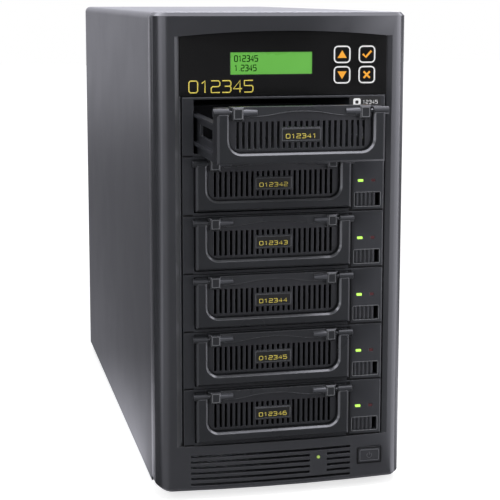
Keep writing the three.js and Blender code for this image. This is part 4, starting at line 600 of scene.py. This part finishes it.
def line_piece(name, lines, width, closed, material, body, flat=LINE_FLAT_SHARE):
    """Raised lines of even width on a front face: each line is a list of points in millimetres."""
    data = bpy.data.curves.new(name, "CURVE")
    data.dimensions = "3D"
    data.bevel_depth = width / 2 * MM
    data.bevel_resolution = 1
    data.use_fill_caps = True
    y = lines[0][0][1]
    for points, shut in zip(lines, closed):
        spline = data.splines.new("POLY")
        spline.points.add(len(points) - 1)
        for mark, (px, py, pz) in zip(spline.points, points):
            mark.co = (px * MM, (py - y) * MM, pz * MM, 1.0)
        spline.use_cyclic_u = shut
    data.materials.append(material)
    shape = bpy.data.objects.new(name + "_lines", data)
    bpy.context.scene.collection.objects.link(shape)
    depsgraph = bpy.context.evaluated_depsgraph_get()
    mesh = bpy.data.meshes.new_from_object(shape.evaluated_get(depsgraph))
    bpy.data.objects.remove(shape)
    for vertex in mesh.vertices:
        vertex.co.y = vertex.co.y * flat + y * MM
    piece = bpy.data.objects.new(name, mesh)
    bpy.context.scene.collection.objects.link(piece)
    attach(piece, body)
    return piece


def numbers_piece(name, numbers, place, size, gap, width, material, body):
    """A row of digits: place is its low left corner, size the width and height of one digit."""
    x, y, z = place
    lines, closed = [], []
    for mark in numbers:
        for points in DIGIT_LINE_SHARES[mark]:
            lines.append([(x + px * size[0], y, z + pz * size[1]) for px, pz in points])
            closed.append(mark in CLOSED_DIGITS)
        x += gap + size[0] * (POINT_SHARE if mark == "." else 1)
    return line_piece(name, lines, width, closed, material, body)


def row_width(numbers, size, gap):
    return len(numbers) * (size[0] + gap) - gap


def plate_piece(name, outline, y0, y1, material, body):
    """A thin flat piece on a front face."""
    bm = bmesh.new()
    prism(bm, outline, y0, y1)
    bmesh.ops.scale(bm, vec=(MM, MM, MM), verts=bm.verts)
    return mesh_object(name, bm, [material], body)


def ring_piece(name, outer, inner, corners, middle, depths, material, body):
    """A rectangular ring on a front face: two sizes, two corner radii, its middle and two depths."""
    bm = bmesh.new()
    ring(
        bm, shifted(rounded_rectangle(*outer, corners[0]), *middle),
        shifted(rounded_rectangle(*inner, corners[1]), *middle), *depths,
    )
    bmesh.ops.scale(bm, vec=(MM, MM, MM), verts=bm.verts)
    return mesh_object(name, bm, [material], body)


def box_mm(node):
    low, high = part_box(node)
    return low / MM, high / MM


# Lamps in the racks' right-hand strips

LAMP_RISE = 21.8
LAMP_INSETS = {"ready": 17.3, "activity": 7.8}
LAMP_SIZES = {"ready": (3.9, 1.7), "activity": (3.0, 2.0)}
LAMP_CORNER = 0.5
LAMP_DEPTHS = (0.1, 1.4)


def status_lamp(bay, kind, material):
    low, high = box_mm(f"rack_housing_{bay}")
    outline = shifted(
        rounded_rectangle(*LAMP_SIZES[kind], LAMP_CORNER), high.x - LAMP_INSETS[kind],
        low.z + LAMP_RISE,
    )
    front, back = (low.y + depth for depth in LAMP_DEPTHS)
    plate_piece(f"{kind}_lamp_{bay}", outline, front, back, material, CHASSIS)


# Keys: a white outline and an amber sign with a faint painted glow

MARK_PROUD = 0.12
KEY_OUTLINE = 12.4
KEY_OUTLINE_WIDTH = 1.0
KEY_OUTLINE_CORNERS = (3.2, 2.0)
TICK_WIDTH = 1.5
CROSS_REACH = 2.3
CROSS_WIDTH = 1.4
CROSS_STEP = 0.01
KEY_SIGNS = {
    "key_up": [(-3.4, -2.5), (3.4, -2.5), (0.0, 3.0)],
    "key_down": [(-3.4, 2.5), (0.0, -3.0), (3.4, 2.5)],
    "key_enter": stroke([(-3.0, 0.2), (-0.9, -2.0), (3.2, 2.4)], TICK_WIDTH),
    "key_back": None,
}


def add_cross(bm, x, z, front, back):
    """Two crossing arms, one a little in front of the other."""
    for side in (-1, 1):
        ends = [(-CROSS_REACH, -side * CROSS_REACH), (CROSS_REACH, side * CROSS_REACH)]
        prism(bm, shifted(stroke(ends, CROSS_WIDTH), x, z), front - CROSS_STEP * side, back)


def key_marks(node):
    low, high = box_mm(node)
    x, z = (low.x + high.x) / 2, (low.z + high.z) / 2
    front, back = low.y - MARK_PROUD, low.y + SINK
    inner = KEY_OUTLINE - 2 * KEY_OUTLINE_WIDTH
    ring_piece(
        f"{node}_outline", (KEY_OUTLINE, KEY_OUTLINE), (inner, inner), KEY_OUTLINE_CORNERS, (x, z),
        (front, back), INK_WHITE, node,
    )
    sign = bmesh.new()
    if KEY_SIGNS[node] is None:
        add_cross(sign, x, z, front, back)
    else:
        prism(sign, shifted(KEY_SIGNS[node], x, z), front, back)
    bmesh.ops.scale(sign, vec=(MM, MM, MM), verts=sign.verts)
    mesh_object(f"{node}_sign", sign, [AMBER_INK_PAINTED_GLOW], node)


# Bezel: the slanted edge on the left of the opening is paler than the rest, a painted highlight

BEVEL_SPAN = (-78.6, -74.9)
BEVEL_TURN_SHARES = (0.3, 0.9)


def is_left_bevel(centre, normal):
    slanted = BEVEL_TURN_SHARES[0] < normal.x < BEVEL_TURN_SHARES[1]
    return 1 if BEVEL_SPAN[0] < centre.x < BEVEL_SPAN[1] and slanted else 0


# Display: the lit window, and plain numbers

BOARD_SHEET = 1.7
WINDOW_HALVES = (31, 8.5)
WINDOW_DEPTH = 2.5
PRINT_PROUD = 0.02
DISPLAY_ROWS = ((1, "012345"), (-1, "1.2345"))
DISPLAY_ROW_LEFT = 26.6
DISPLAY_ROW_DROP = 1.9
DISPLAY_ROW_STEP = 3.3
DISPLAY_DIGIT = (2.1, 4.0)
DISPLAY_DIGIT_GAP = 0.8
DISPLAY_LINE = 0.9


def is_window(centre, normal):
    low, high = box_mm("lcd_module")
    middle = (low + high) / 2
    beside = abs(centre.x - middle.x) < WINDOW_HALVES[0]
    if beside and abs(centre.z - middle.z) < WINDOW_HALVES[1] and centre.y < low.y + WINDOW_DEPTH:
        return 0
    return 1 if centre.y < high.y - BOARD_SHEET else 2


def display_numbers():
    low, high = box_mm("lcd_module")
    middle = (low + high) / 2
    for row, (side, numbers) in enumerate(DISPLAY_ROWS):
        place = (
            middle.x - DISPLAY_ROW_LEFT, low.y - PRINT_PROUD,
            middle.z - DISPLAY_ROW_DROP + side * DISPLAY_ROW_STEP,
        )
        numbers_piece(
            f"display_row_{row + 1}", numbers, place, DISPLAY_DIGIT, DISPLAY_DIGIT_GAP,
            DISPLAY_LINE, DISPLAY_INK, CHASSIS,
        )


# Tray fronts: polished hinge barrels, bevelled lugs, a grille darkened as painted shade, the handle's
# inner rim paled as a painted highlight, and a black label with numbers that have a faint painted glow

PIVOT_DROP = 3.6
BARREL_SPAN = (29.5, 38.7)
LUG_SPAN = (38.7, 46.6)
LUG_DROP = 8.9
HOOD_DEPTH = 2.7
GRILLE_DEPTH = 3.4
LABEL_RISE = 18.2
LABEL_SIZE = (25.6, 7.6)
LABEL_CORNER = 0.6
LABEL_DEPTH = 3.6
LABEL_PROUD = 0.1
LABEL_FRAME = 0.45
LABEL_FRAME_CORNERS = (0.7, 0.4)
LABEL_FRAME_PROUD = 0.16
LABEL_PLATE_MARGIN = 1.2
LABEL_PLATE_HALF = 5.2
LABEL_PLATE_STEP = 0.3
TRAY_DIGIT = (2.6, 2.7)
TRAY_DIGIT_GAP = 0.95
TRAY_DIGIT_LINE = 0.5
TRAY_DIGIT_DROP = 0.9
HANDLE_INSIDE = 50.0
HANDLE_RIM_RISE = 5.0
HANDLE_RIM_TURN_SHARES = (-0.95, -0.2)


def tray_part(bay):
    """Picks a face's finish: 0 moulding, 1 barrel, 2 lug, 3 grille darkened as painted shade."""
    low, high = box_mm(f"tray_front_{bay}")
    middle = (low.x + high.x) / 2
    label_reach = LABEL_SIZE[0] / 2 + LABEL_PLATE_MARGIN
    label_back = low.y + LABEL_DEPTH + LABEL_PLATE_STEP

    def part(centre, normal):
        across = abs(centre.x - middle)
        if centre.y > low.y + GRILLE_DEPTH:
            on_label = abs(centre.z - low.z - LABEL_RISE) < LABEL_PLATE_HALF and across < label_reach
            return 0 if on_label and centre.y < label_back else 3
        if centre.y > low.y + HOOD_DEPTH:
            return 0
        if BARREL_SPAN[0] < across < BARREL_SPAN[1] and centre.z > high.z - 2 * PIVOT_DROP:
            return 1
        return 2 if LUG_SPAN[0] < across < LUG_SPAN[1] and centre.z > high.z - LUG_DROP else 0

    return part


def handle_part(bay):
    low, high = box_mm(f"tray_handle_{bay}")
    middle = (low.x + high.x) / 2

    def part(centre, normal):
        inside = abs(centre.x - middle) < HANDLE_INSIDE and centre.z > low.z + HANDLE_RIM_RISE
        slanted = HANDLE_RIM_TURN_SHARES[0] < normal.y < HANDLE_RIM_TURN_SHARES[1]
        # 1 is the paler rim finish: a painted highlight on the inner rim's slanted faces
        return 1 if inside and slanted else 0

    return part


def tray_label(bay):
    low, high = box_mm(f"tray_front_{bay}")
    x, z, face = (low.x + high.x) / 2, low.z + LABEL_RISE, low.y + LABEL_DEPTH
    plate_piece(
        f"tray_label_{bay}", shifted(rounded_rectangle(*LABEL_SIZE, LABEL_CORNER), x, z),
        face - LABEL_PROUD, face + SINK, STICKER, f"tray_{bay}",
    )
    ring_piece(
        f"tray_label_frame_{bay}", [side + LABEL_FRAME for side in LABEL_SIZE],
        [side - LABEL_FRAME for side in LABEL_SIZE], LABEL_FRAME_CORNERS, (x, z),
        (face - LABEL_FRAME_PROUD, face + SINK), HIGHLIGHT_AND_PRINT_GREY, f"tray_{bay}",
    )
    numbers = f"01234{bay}"
    left = x - row_width(numbers, TRAY_DIGIT, TRAY_DIGIT_GAP) / 2
    numbers_piece(
        f"tray_number_{bay}", numbers,
        (left, face - LABEL_PROUD, z - TRAY_DIGIT[1] / 2 - TRAY_DIGIT_DROP), TRAY_DIGIT,
        TRAY_DIGIT_GAP, TRAY_DIGIT_LINE, YELLOW_INK_PAINTED_GLOW, f"tray_{bay}",
    )


# Lugs: a thin pale outline on each front face, a painted highlight on the lug's edges

LUG_OUTLINE = (5.6, 6.6)
LUG_OUTLINE_WIDTH = 0.5
LUG_OUTLINE_CORNERS = (0.9, 0.5)
LUG_OUTLINE_PROUD = 0.06
LUG_OUTLINE_DROP = 4.4


def lug_outlines(bay):
    low, high = box_mm(f"tray_front_{bay}")
    inner = [side - 2 * LUG_OUTLINE_WIDTH for side in LUG_OUTLINE]
    for side, name in ((-1, "left"), (1, "right")):
        x = (low.x + high.x) / 2 + side * sum(LUG_SPAN) / 2
        ring_piece(
            f"lug_outline_{name}_{bay}", LUG_OUTLINE, inner, LUG_OUTLINE_CORNERS,
            (x, high.z - LUG_OUTLINE_DROP), (low.y - LUG_OUTLINE_PROUD, low.y + SINK), OUTLINE_HIGHLIGHT,
            f"tray_{bay}",
        )


# A pale line along the hood's waved lower edge: a painted highlight

HOOD_EDGE_RISE = 30.3
HOOD_WAVE_RISE = 3.2
HOOD_WAVE_HALF = 36.0
HOOD_WAVE_STEPS = 8
HOOD_WAVE_PULL = 1.5
HOOD_FRONT = 2.8
HOOD_LINE_WIDTH = 0.5


def hood_highlight(bay):
    """Half a wave falls from the middle to the side in a curve that is level at both ends."""
    low, high = box_mm(f"tray_front_{bay}")
    middle = (low.x + high.x) / 2
    half_wave = []
    for step in range(HOOD_WAVE_STEPS + 1):
        share = step / HOOD_WAVE_STEPS
        across = HOOD_WAVE_HALF * (1 - share) * ((1 - share) ** 2 + HOOD_WAVE_PULL * share)
        rise = HOOD_WAVE_RISE * (3 * share * share - 2 * share ** 3)
        half_wave.append((across, HOOD_EDGE_RISE + rise))
    wave = [(-across, rise) for across, rise in half_wave] + half_wave[-2::-1]
    points = [(middle + across, low.y + HOOD_FRONT, low.z + rise) for across, rise in wave]
    line_piece(
        f"hood_line_{bay}", [points], HOOD_LINE_WIDTH, (False,), HIGHLIGHT_AND_PRINT_GREY, f"tray_{bay}",
    )


# Lock windows: a raised rim round each window, painted pale as a highlight

LOCK_CLEARANCE = 0.3
LOCK_FLANGE = 0.9
LOCK_TRAVEL = 3.0
LOCK_RIM = 0.6
LOCK_RIM_PLAY = 0.1
LOCK_RIM_CORNERS = (1.3, 0.3)
LOCK_RIM_PROUD = 0.3


def lock_rim(bay):
    low, high = box_mm(f"lock_slider_{bay}")
    face = box_mm(f"rack_housing_{bay}")[0].y
    x0, x1 = low.x - LOCK_CLEARANCE, high.x + LOCK_TRAVEL + LOCK_CLEARANCE
    z0, z1 = low.z + LOCK_FLANGE - LOCK_CLEARANCE, high.z - LOCK_FLANGE + LOCK_CLEARANCE
    window = (x1 - x0, z1 - z0)
    ring_piece(
        f"lock_rim_{bay}", [side + 2 * LOCK_RIM for side in window],
        [side + LOCK_RIM_PLAY for side in window], LOCK_RIM_CORNERS,
        ((x0 + x1) / 2, (z0 + z1) / 2), (face - LOCK_RIM_PROUD, face + SINK), OUTLINE_HIGHLIGHT, CHASSIS,
    )


# Racks: dark strips of painted shade in the reveals between and beside them, and pale lines of painted
# highlight on the right and along the top

REVEAL = 1.0
SIDE_REVEAL = 2.6
REVEAL_CORNER_SHARE = 1 / 3
REVEAL_PROUD = 0.05
STRIP_LEFTS = (-73.7, 47.6)
STRIP_RIGHTS = (-66.6, 73.7)
LINE_WIDTH = 0.5
LINE_CORNER = 0.2
LINE_PROUD = 0.08
EDGE_LINE_INSET = 0.6
TOP_LINE_TRIM = 0.8
TOP_LINE_DROP = 0.5


def rack_reveals(bay):
    low, high = box_mm(f"rack_housing_{bay}")
    corner = REVEAL * REVEAL_CORNER_SHARE
    depths = (low.y - REVEAL_PROUD, low.y + SINK)
    clear, z = high.z - low.z - 2 * REVEAL, (low.z + high.z) / 2
    # Dark strips in the reveals between the racks and beside the trays' right edges: painted shade
    bm = bmesh.new()
    for left, right in zip(STRIP_LEFTS, STRIP_RIGHTS):
        outline = rounded_rectangle(right - left, REVEAL, corner)
        prism(bm, shifted(outline, (left + right) / 2, low.z + REVEAL / 2), *depths)
    side = rounded_rectangle(SIDE_REVEAL, clear, corner)
    prism(bm, shifted(side, STRIP_LEFTS[-1] + SIDE_REVEAL / 2, z), *depths)
    bmesh.ops.scale(bm, vec=(MM, MM, MM), verts=bm.verts)
    mesh_object(f"rack_reveal_{bay}", bm, [SHADOW], CHASSIS)
    # A pale line along the right edge: a painted highlight
    line = rounded_rectangle(LINE_WIDTH, clear, LINE_CORNER)
    plate_piece(
        f"rack_edge_highlight_{bay}", shifted(line, high.x - EDGE_LINE_INSET, z), low.y - LINE_PROUD,
        low.y + SINK, HIGHLIGHT_AND_PRINT_GREY, CHASSIS,
    )


def rack_top_highlight():
    low, high = box_mm("rack_housing_1")
    line = rounded_rectangle(high.x - low.x - TOP_LINE_TRIM, LINE_WIDTH, LINE_CORNER)
    plate_piece(
        "rack_top_highlight", shifted(line, (low.x + high.x) / 2, high.z - TOP_LINE_DROP),
        low.y - LINE_PROUD, low.y + SINK, HIGHLIGHT_AND_PRINT_GREY, CHASSIS,
    )


# Power button: a dark line of painted shade at its edge, a pale inner outline as a painted highlight,
# and the usual printed sign

BUTTON_RINGS = (
    ("power_button_shade_line", 0.1, 0.7, SHADOW), ("power_button_outline", 1.9, 0.5, HIGHLIGHT_AND_PRINT_GREY),
)
BUTTON_RING_CORNERS = (0.9, 0.5)
SIGN_RADIUS = 1.9
SIGN_DROP = 0.2
SIGN_ARC = range(40, 321, 20)
SIGN_BAR = (0.3, 2.2)
SIGN_LINE = 0.5


def power_marks():
    low, high = box_mm("power_button")
    x, z, face = (low.x + high.x) / 2, (low.z + high.z) / 2, low.y
    for name, inset, width, material in BUTTON_RINGS:
        outer = (high.x - low.x - 2 * inset, high.z - low.z - 2 * inset)
        ring_piece(
            name, outer, [side - 2 * width for side in outer], BUTTON_RING_CORNERS, (x, z),
            (face - MARK_PROUD, face + SINK), material, "power_button",
        )
    arc = []
    for degrees in SIGN_ARC:
        angle = math.radians(degrees)
        arc.append((
            x + SIGN_RADIUS * math.sin(angle), face, z - SIGN_DROP + SIGN_RADIUS * math.cos(angle),
        ))
    bar = [(x, face, z + rise) for rise in SIGN_BAR]
    line_piece(
        "power_sign", [arc, bar], SIGN_LINE, (False, False), HIGHLIGHT_AND_PRINT_GREY, "power_button",
    )


# Tag in the top right corner of the top rack: a white patch and numbers on black

TAG_SIZE = (23.5, 7.6)
TAG_CORNER = 0.6
TAG_INSETS = (2.9, 1.3)
TAG_PROUD = 0.1
PATCH_SIZES = (5.6, 2.4)
PATCH_CORNERS = (1.4, 0.7)
PATCH_INSET = 5.4
PATCH_PROUD = (0.2, 0.05)
TAG_NUMBERS_PLACE = (9.8, 1.2)
TAG_DIGIT = (1.6, 2.4)
TAG_DIGIT_GAP = 0.75
TAG_LINE = 0.45


def rack_tag():
    low, high = box_mm("rack_housing_1")
    x = high.x - TAG_INSETS[0] - TAG_SIZE[0] / 2
    z = high.z - TAG_INSETS[1] - TAG_SIZE[1] / 2
    left, face = x - TAG_SIZE[0] / 2, low.y
    plate_piece(
        "rack_tag", shifted(rounded_rectangle(*TAG_SIZE, TAG_CORNER), x, z), face - TAG_PROUD,
        face + SINK, STICKER, CHASSIS,
    )
    outer, inner = ((side, side) for side in PATCH_SIZES)
    ring_piece(
        "rack_tag_patch", outer, inner, PATCH_CORNERS, (left + PATCH_INSET, z),
        [face - proud for proud in PATCH_PROUD], INK_WHITE, CHASSIS,
    )
    numbers_piece(
        "rack_tag_numbers", "12345",
        (left + TAG_NUMBERS_PLACE[0], face - TAG_PROUD, z - TAG_NUMBERS_PLACE[1]), TAG_DIGIT,
        TAG_DIGIT_GAP, TAG_LINE, INK_WHITE, CHASSIS,
    )


# Screws with a crosswise recess, on a rear face: profiles in shares of radius and height

SCREW_SEGMENTS = 32
SCREW_SMOOTH_ANGLE = 50
SCREW_PROFILE_SHARES = (
    (1.0, 0.0), (1.0, 0.35), (0.9, 0.75), (0.68, 0.97), (0.0, 1.0), (0.0, 0.45),
)
RECESS_SHARES = (0.56, 0.13)
SMALLEST = 1e-6


def cross_reach(angle):
    """How far the recess's cross reaches in a direction, in shares of the radius."""
    length, half = RECESS_SHARES
    along = max(abs(math.cos(angle)), SMALLEST)
    aside = max(abs(math.sin(angle)), SMALLEST)
    return max(min(length / along, half / aside), min(length / aside, half / along))


def rear_screw(name, x, y, z, radius, height):
    """A pan head: rows of points from the rim over the dome into the recess."""
    bm = bmesh.new()
    rows = []
    for reach, rise in SCREW_PROFILE_SHARES:
        row = []
        for step in range(SCREW_SEGMENTS):
            angle = math.tau * (step + 0.5) / SCREW_SEGMENTS
            length = radius * (reach or cross_reach(angle))
            row.append(bm.verts.new((
                x + length * math.cos(angle), y + height * rise, z + length * math.sin(angle),
            )))
        rows.append(row)
    for near, far in zip(rows, rows[1:]):
        for step in range(SCREW_SEGMENTS):
            after = (step + 1) % SCREW_SEGMENTS
            bm.faces.new((near[step], far[step], far[after], near[after]))
    bm.faces.new(rows[-1])
    bm.faces.new(list(reversed(rows[0])))
    bmesh.ops.recalc_face_normals(bm, faces=bm.faces)
    for face in bm.faces:
        face.smooth = True
    smooth_edges(bm, SCREW_SMOOTH_ANGLE)
    bmesh.ops.scale(bm, vec=(MM, MM, MM), verts=bm.verts)
    mesh_object(name, bm, [SCREW], CHASSIS)


COVER_SCREW_INSET = 6.0
COVER_SCREW_SHARES = (0.12, 0.5, 0.88)
COVER_SCREW = (3.6, 1.7)
FAN_SCREW_INSET = 5.0
EXHAUST_SCREW = (2.1, 1.6)
EXHAUST_SCREW_SET = 1.9
SUPPLY_SCREW = (3.2, 1.2)


def rear_screws():
    low, high = box_mm("wrap_cover")
    for side, x in (("left", low.x + COVER_SCREW_INSET), ("right", high.x - COVER_SCREW_INSET)):
        for place, share in enumerate(COVER_SCREW_SHARES):
            z = low.z + share * (high.z - low.z)
            rear_screw(f"cover_screw_{side}_{place}", x, high.y, z, *COVER_SCREW)
    fan_screws("exhaust", box_mm("exhaust_fan_guard")[1].y - EXHAUST_SCREW_SET, EXHAUST_SCREW)
    fan_screws("psu", box_mm("psu_case")[1].y, SUPPLY_SCREW)


def fan_screws(fan, y, head):
    low, high = box_mm(f"{fan}_fan_frame")
    xs = (low.x + FAN_SCREW_INSET, high.x - FAN_SCREW_INSET)
    zs = (low.z + FAN_SCREW_INSET, high.z - FAN_SCREW_INSET)
    for place, (x, z) in enumerate((x, z) for x in xs for z in zs):
        rear_screw(f"{fan}_screw_{place}", x, y, z, *head)


# Boards and inlet: chips, sinks, ports, capacitors and pins in their own finishes

FACE_MARGIN = 0.1
FACING_SHARE = 0.5
STANDOFF = 4.0
BOARD_TOP = 5.7
HEAT_SINK_HALF = 17.2
PORT_DEPTH = 14.2
SUPPLY_STANDOFF = 5.0
SUPPLY_BOARD_TOP = 6.7
TRANSFORMER_HALVES = (20.2, 17.2)
SUPPLY_SINK_X = 33.5
SUPPLY_SINK_HALF = 1.7
PIN_REACH = (8.5, 4.5)
INLET_FLOOR = 2.0


def control_part(centre, normal):
    low, high = box_mm("control_board")
    middle = (low + high) / 2
    if centre.z < low.z + BOARD_TOP:
        return 2 if centre.z < low.z + STANDOFF - FACE_MARGIN else 0
    if abs(centre.x - middle.x) < HEAT_SINK_HALF and abs(centre.y - middle.y) < HEAT_SINK_HALF:
        return 2
    return 3 if centre.y > high.y - PORT_DEPTH and abs(normal.y) > FACING_SHARE else 1


def supply_part(centre, normal):
    low, high = box_mm("psu_board")
    middle = (low + high) / 2
    if centre.z < low.z + SUPPLY_BOARD_TOP:
        return 2 if centre.z < low.z + SUPPLY_STANDOFF - FACE_MARGIN else 0
    if abs(centre.x) < TRANSFORMER_HALVES[0] and abs(centre.y - middle.y) < TRANSFORMER_HALVES[1]:
        return 3
    return 2 if abs(abs(centre.x) - SUPPLY_SINK_X) < SUPPLY_SINK_HALF else 1


def inlet_part(centre, normal):
    low, high = box_mm("power_inlet")
    middle = (low + high) / 2
    near = abs(centre.x - middle.x) < PIN_REACH[0] and abs(centre.z - middle.z) < PIN_REACH[1]
    return 1 if near and centre.y > low.y + INLET_FLOOR else 0


def is_board_back(centre, normal):
    return 0 if centre.y > box_mm("key_board")[1].y - BOARD_SHEET else 1


def is_backplane_socket(centre, normal):
    return 1 if centre.y < box_mm("backplane")[1].y - BOARD_SHEET else 0


# The rocker's marks follow its two slopes

ROCKER_MARK_RISE = 5.0
ROCKER_MARK_HALF = 1.6
ROCKER_MARK_WIDTH = 0.6
ROCKER_MARK_STEPS = 16
ROCKER_UPPER = (2.0, 0.0)
ROCKER_LOWER = (1.0, -0.2)


def rocker_marks():
    low, high = box_mm("psu_switch")
    x, z = (low.x + high.x) / 2, (low.z + high.z) / 2

    def on_slope(across, up, rise, slope):
        depth, lean = slope
        return x + across, high.y - depth + lean * up, z + rise + up

    bar = [
        on_slope(0, up, ROCKER_MARK_RISE, ROCKER_UPPER)
        for up in (-ROCKER_MARK_HALF, ROCKER_MARK_HALF)
    ]
    circle = [
        on_slope(
            ROCKER_MARK_HALF * math.cos(angle), ROCKER_MARK_HALF * math.sin(angle),
            -ROCKER_MARK_RISE, ROCKER_LOWER,
        )
        for angle in (math.tau * step / ROCKER_MARK_STEPS for step in range(ROCKER_MARK_STEPS))
    ]
    line_piece(
        "rocker_marks", [bar, circle], ROCKER_MARK_WIDTH, (False, True), INK_WHITE, "rocker",
        flat=1.0,
    )


# Panel: a row of yellow numbers at its lower left, with a faint painted glow

PANEL_NUMBERS_PLACE = (6.3, 2.6)
PANEL_DIGIT = (6.2, 8.2)
PANEL_DIGIT_GAP = 1.7
PANEL_LINE = 0.95


def panel_numbers():
    low = box_mm("control_panel")[0]
    across, rise = PANEL_NUMBERS_PLACE
    numbers_piece(
        "panel_numbers", "012345", (low.x + across, low.y - PRINT_PROUD, low.z + rise), PANEL_DIGIT,
        PANEL_DIGIT_GAP, PANEL_LINE, YELLOW_INK_PAINTED_GLOW, CHASSIS,
    )


# Build the scene

FEET = ("foot_front_left", "foot_front_right", "foot_rear_left", "foot_rear_right")
STEEL_NODES = ("chassis_frame", "bay_cage", "psu_case")
FAN_NODES = (
    "psu_fan_frame", "psu_fan_rotor", "exhaust_fan_frame", "exhaust_fan_rotor", "psu_switch",
)

make_camera()
make_world()
for softbox in SOFTBOXES:
    area_light(*softbox)

dress("wrap_cover", "cover_paint", COVER)
dress("front_bezel", "bezel", BEZEL, BEZEL_BEVEL_HIGHLIGHT, choose=is_left_bevel)
dress("power_button", "bezel", BEZEL)
dress("control_panel", "panel_gloss", PANEL)
dress("lcd_module", "display", DISPLAY, CONNECTOR, BOARD, choose=is_window)
dress("power_led", "lamp", LAMP_DOME)
for node in STEEL_NODES:
    dress(node, "inner_steel", STEEL)
for node in FAN_NODES:
    dress(node, "fan_black", FAN)
dress("power_inlet", "fan_black", FAN, WIRE, choose=inlet_part)
dress("control_board", "circuit_board", BOARD, CHIP, ALUMINIUM, CONNECTOR, choose=control_part)
dress("psu_board", "circuit_board", BOARD, CHIP, ALUMINIUM, TRANSFORMER, choose=supply_part)
dress("key_board", "circuit_board", BOARD, CHIP, choose=is_board_back)
dress("backplane", "circuit_board", BOARD, CONNECTOR, choose=is_backplane_socket)
dress("power_switch", "circuit_board", BOARD)
dress("exhaust_fan_guard", "wire", WIRE)
for node in FEET:
    dress(node, "rubber", RUBBER)
for node in KEY_SIGNS:
    dress(node, "panel_gloss", PANEL)
    key_marks(node)
for bay in BAYS:
    dress(f"rack_housing_{bay}", "rack", RACK)
    dress(f"lock_slider_{bay}", "rack", RACK)
    dress(f"tray_sled_{bay}", "rack", RACK)
    dress(f"tray_front_{bay}", "tray", TRAY, BARREL, LUG, GRILLE_SHADE, choose=tray_part(bay))
    dress(f"tray_handle_{bay}", "handle", HANDLE, HANDLE_RIM_HIGHLIGHT, choose=handle_part(bay))
    status_lamp(bay, "ready", LAMP_GREEN)
    status_lamp(bay, "activity", LAMP_RED)
    tray_label(bay)
    lug_outlines(bay)
    hood_highlight(bay)
    lock_rim(bay)
    rack_reveals(bay)
display_numbers()
power_marks()
rack_tag()
rack_top_highlight()
rear_screws()
rocker_marks()
panel_numbers()

floor_mesh = bmesh.new()
bmesh.ops.create_grid(floor_mesh, x_segments=1, y_segments=1, size=FLOOR_HALF)
floor = mesh_object("floor", floor_mesh, [FLOOR], None)
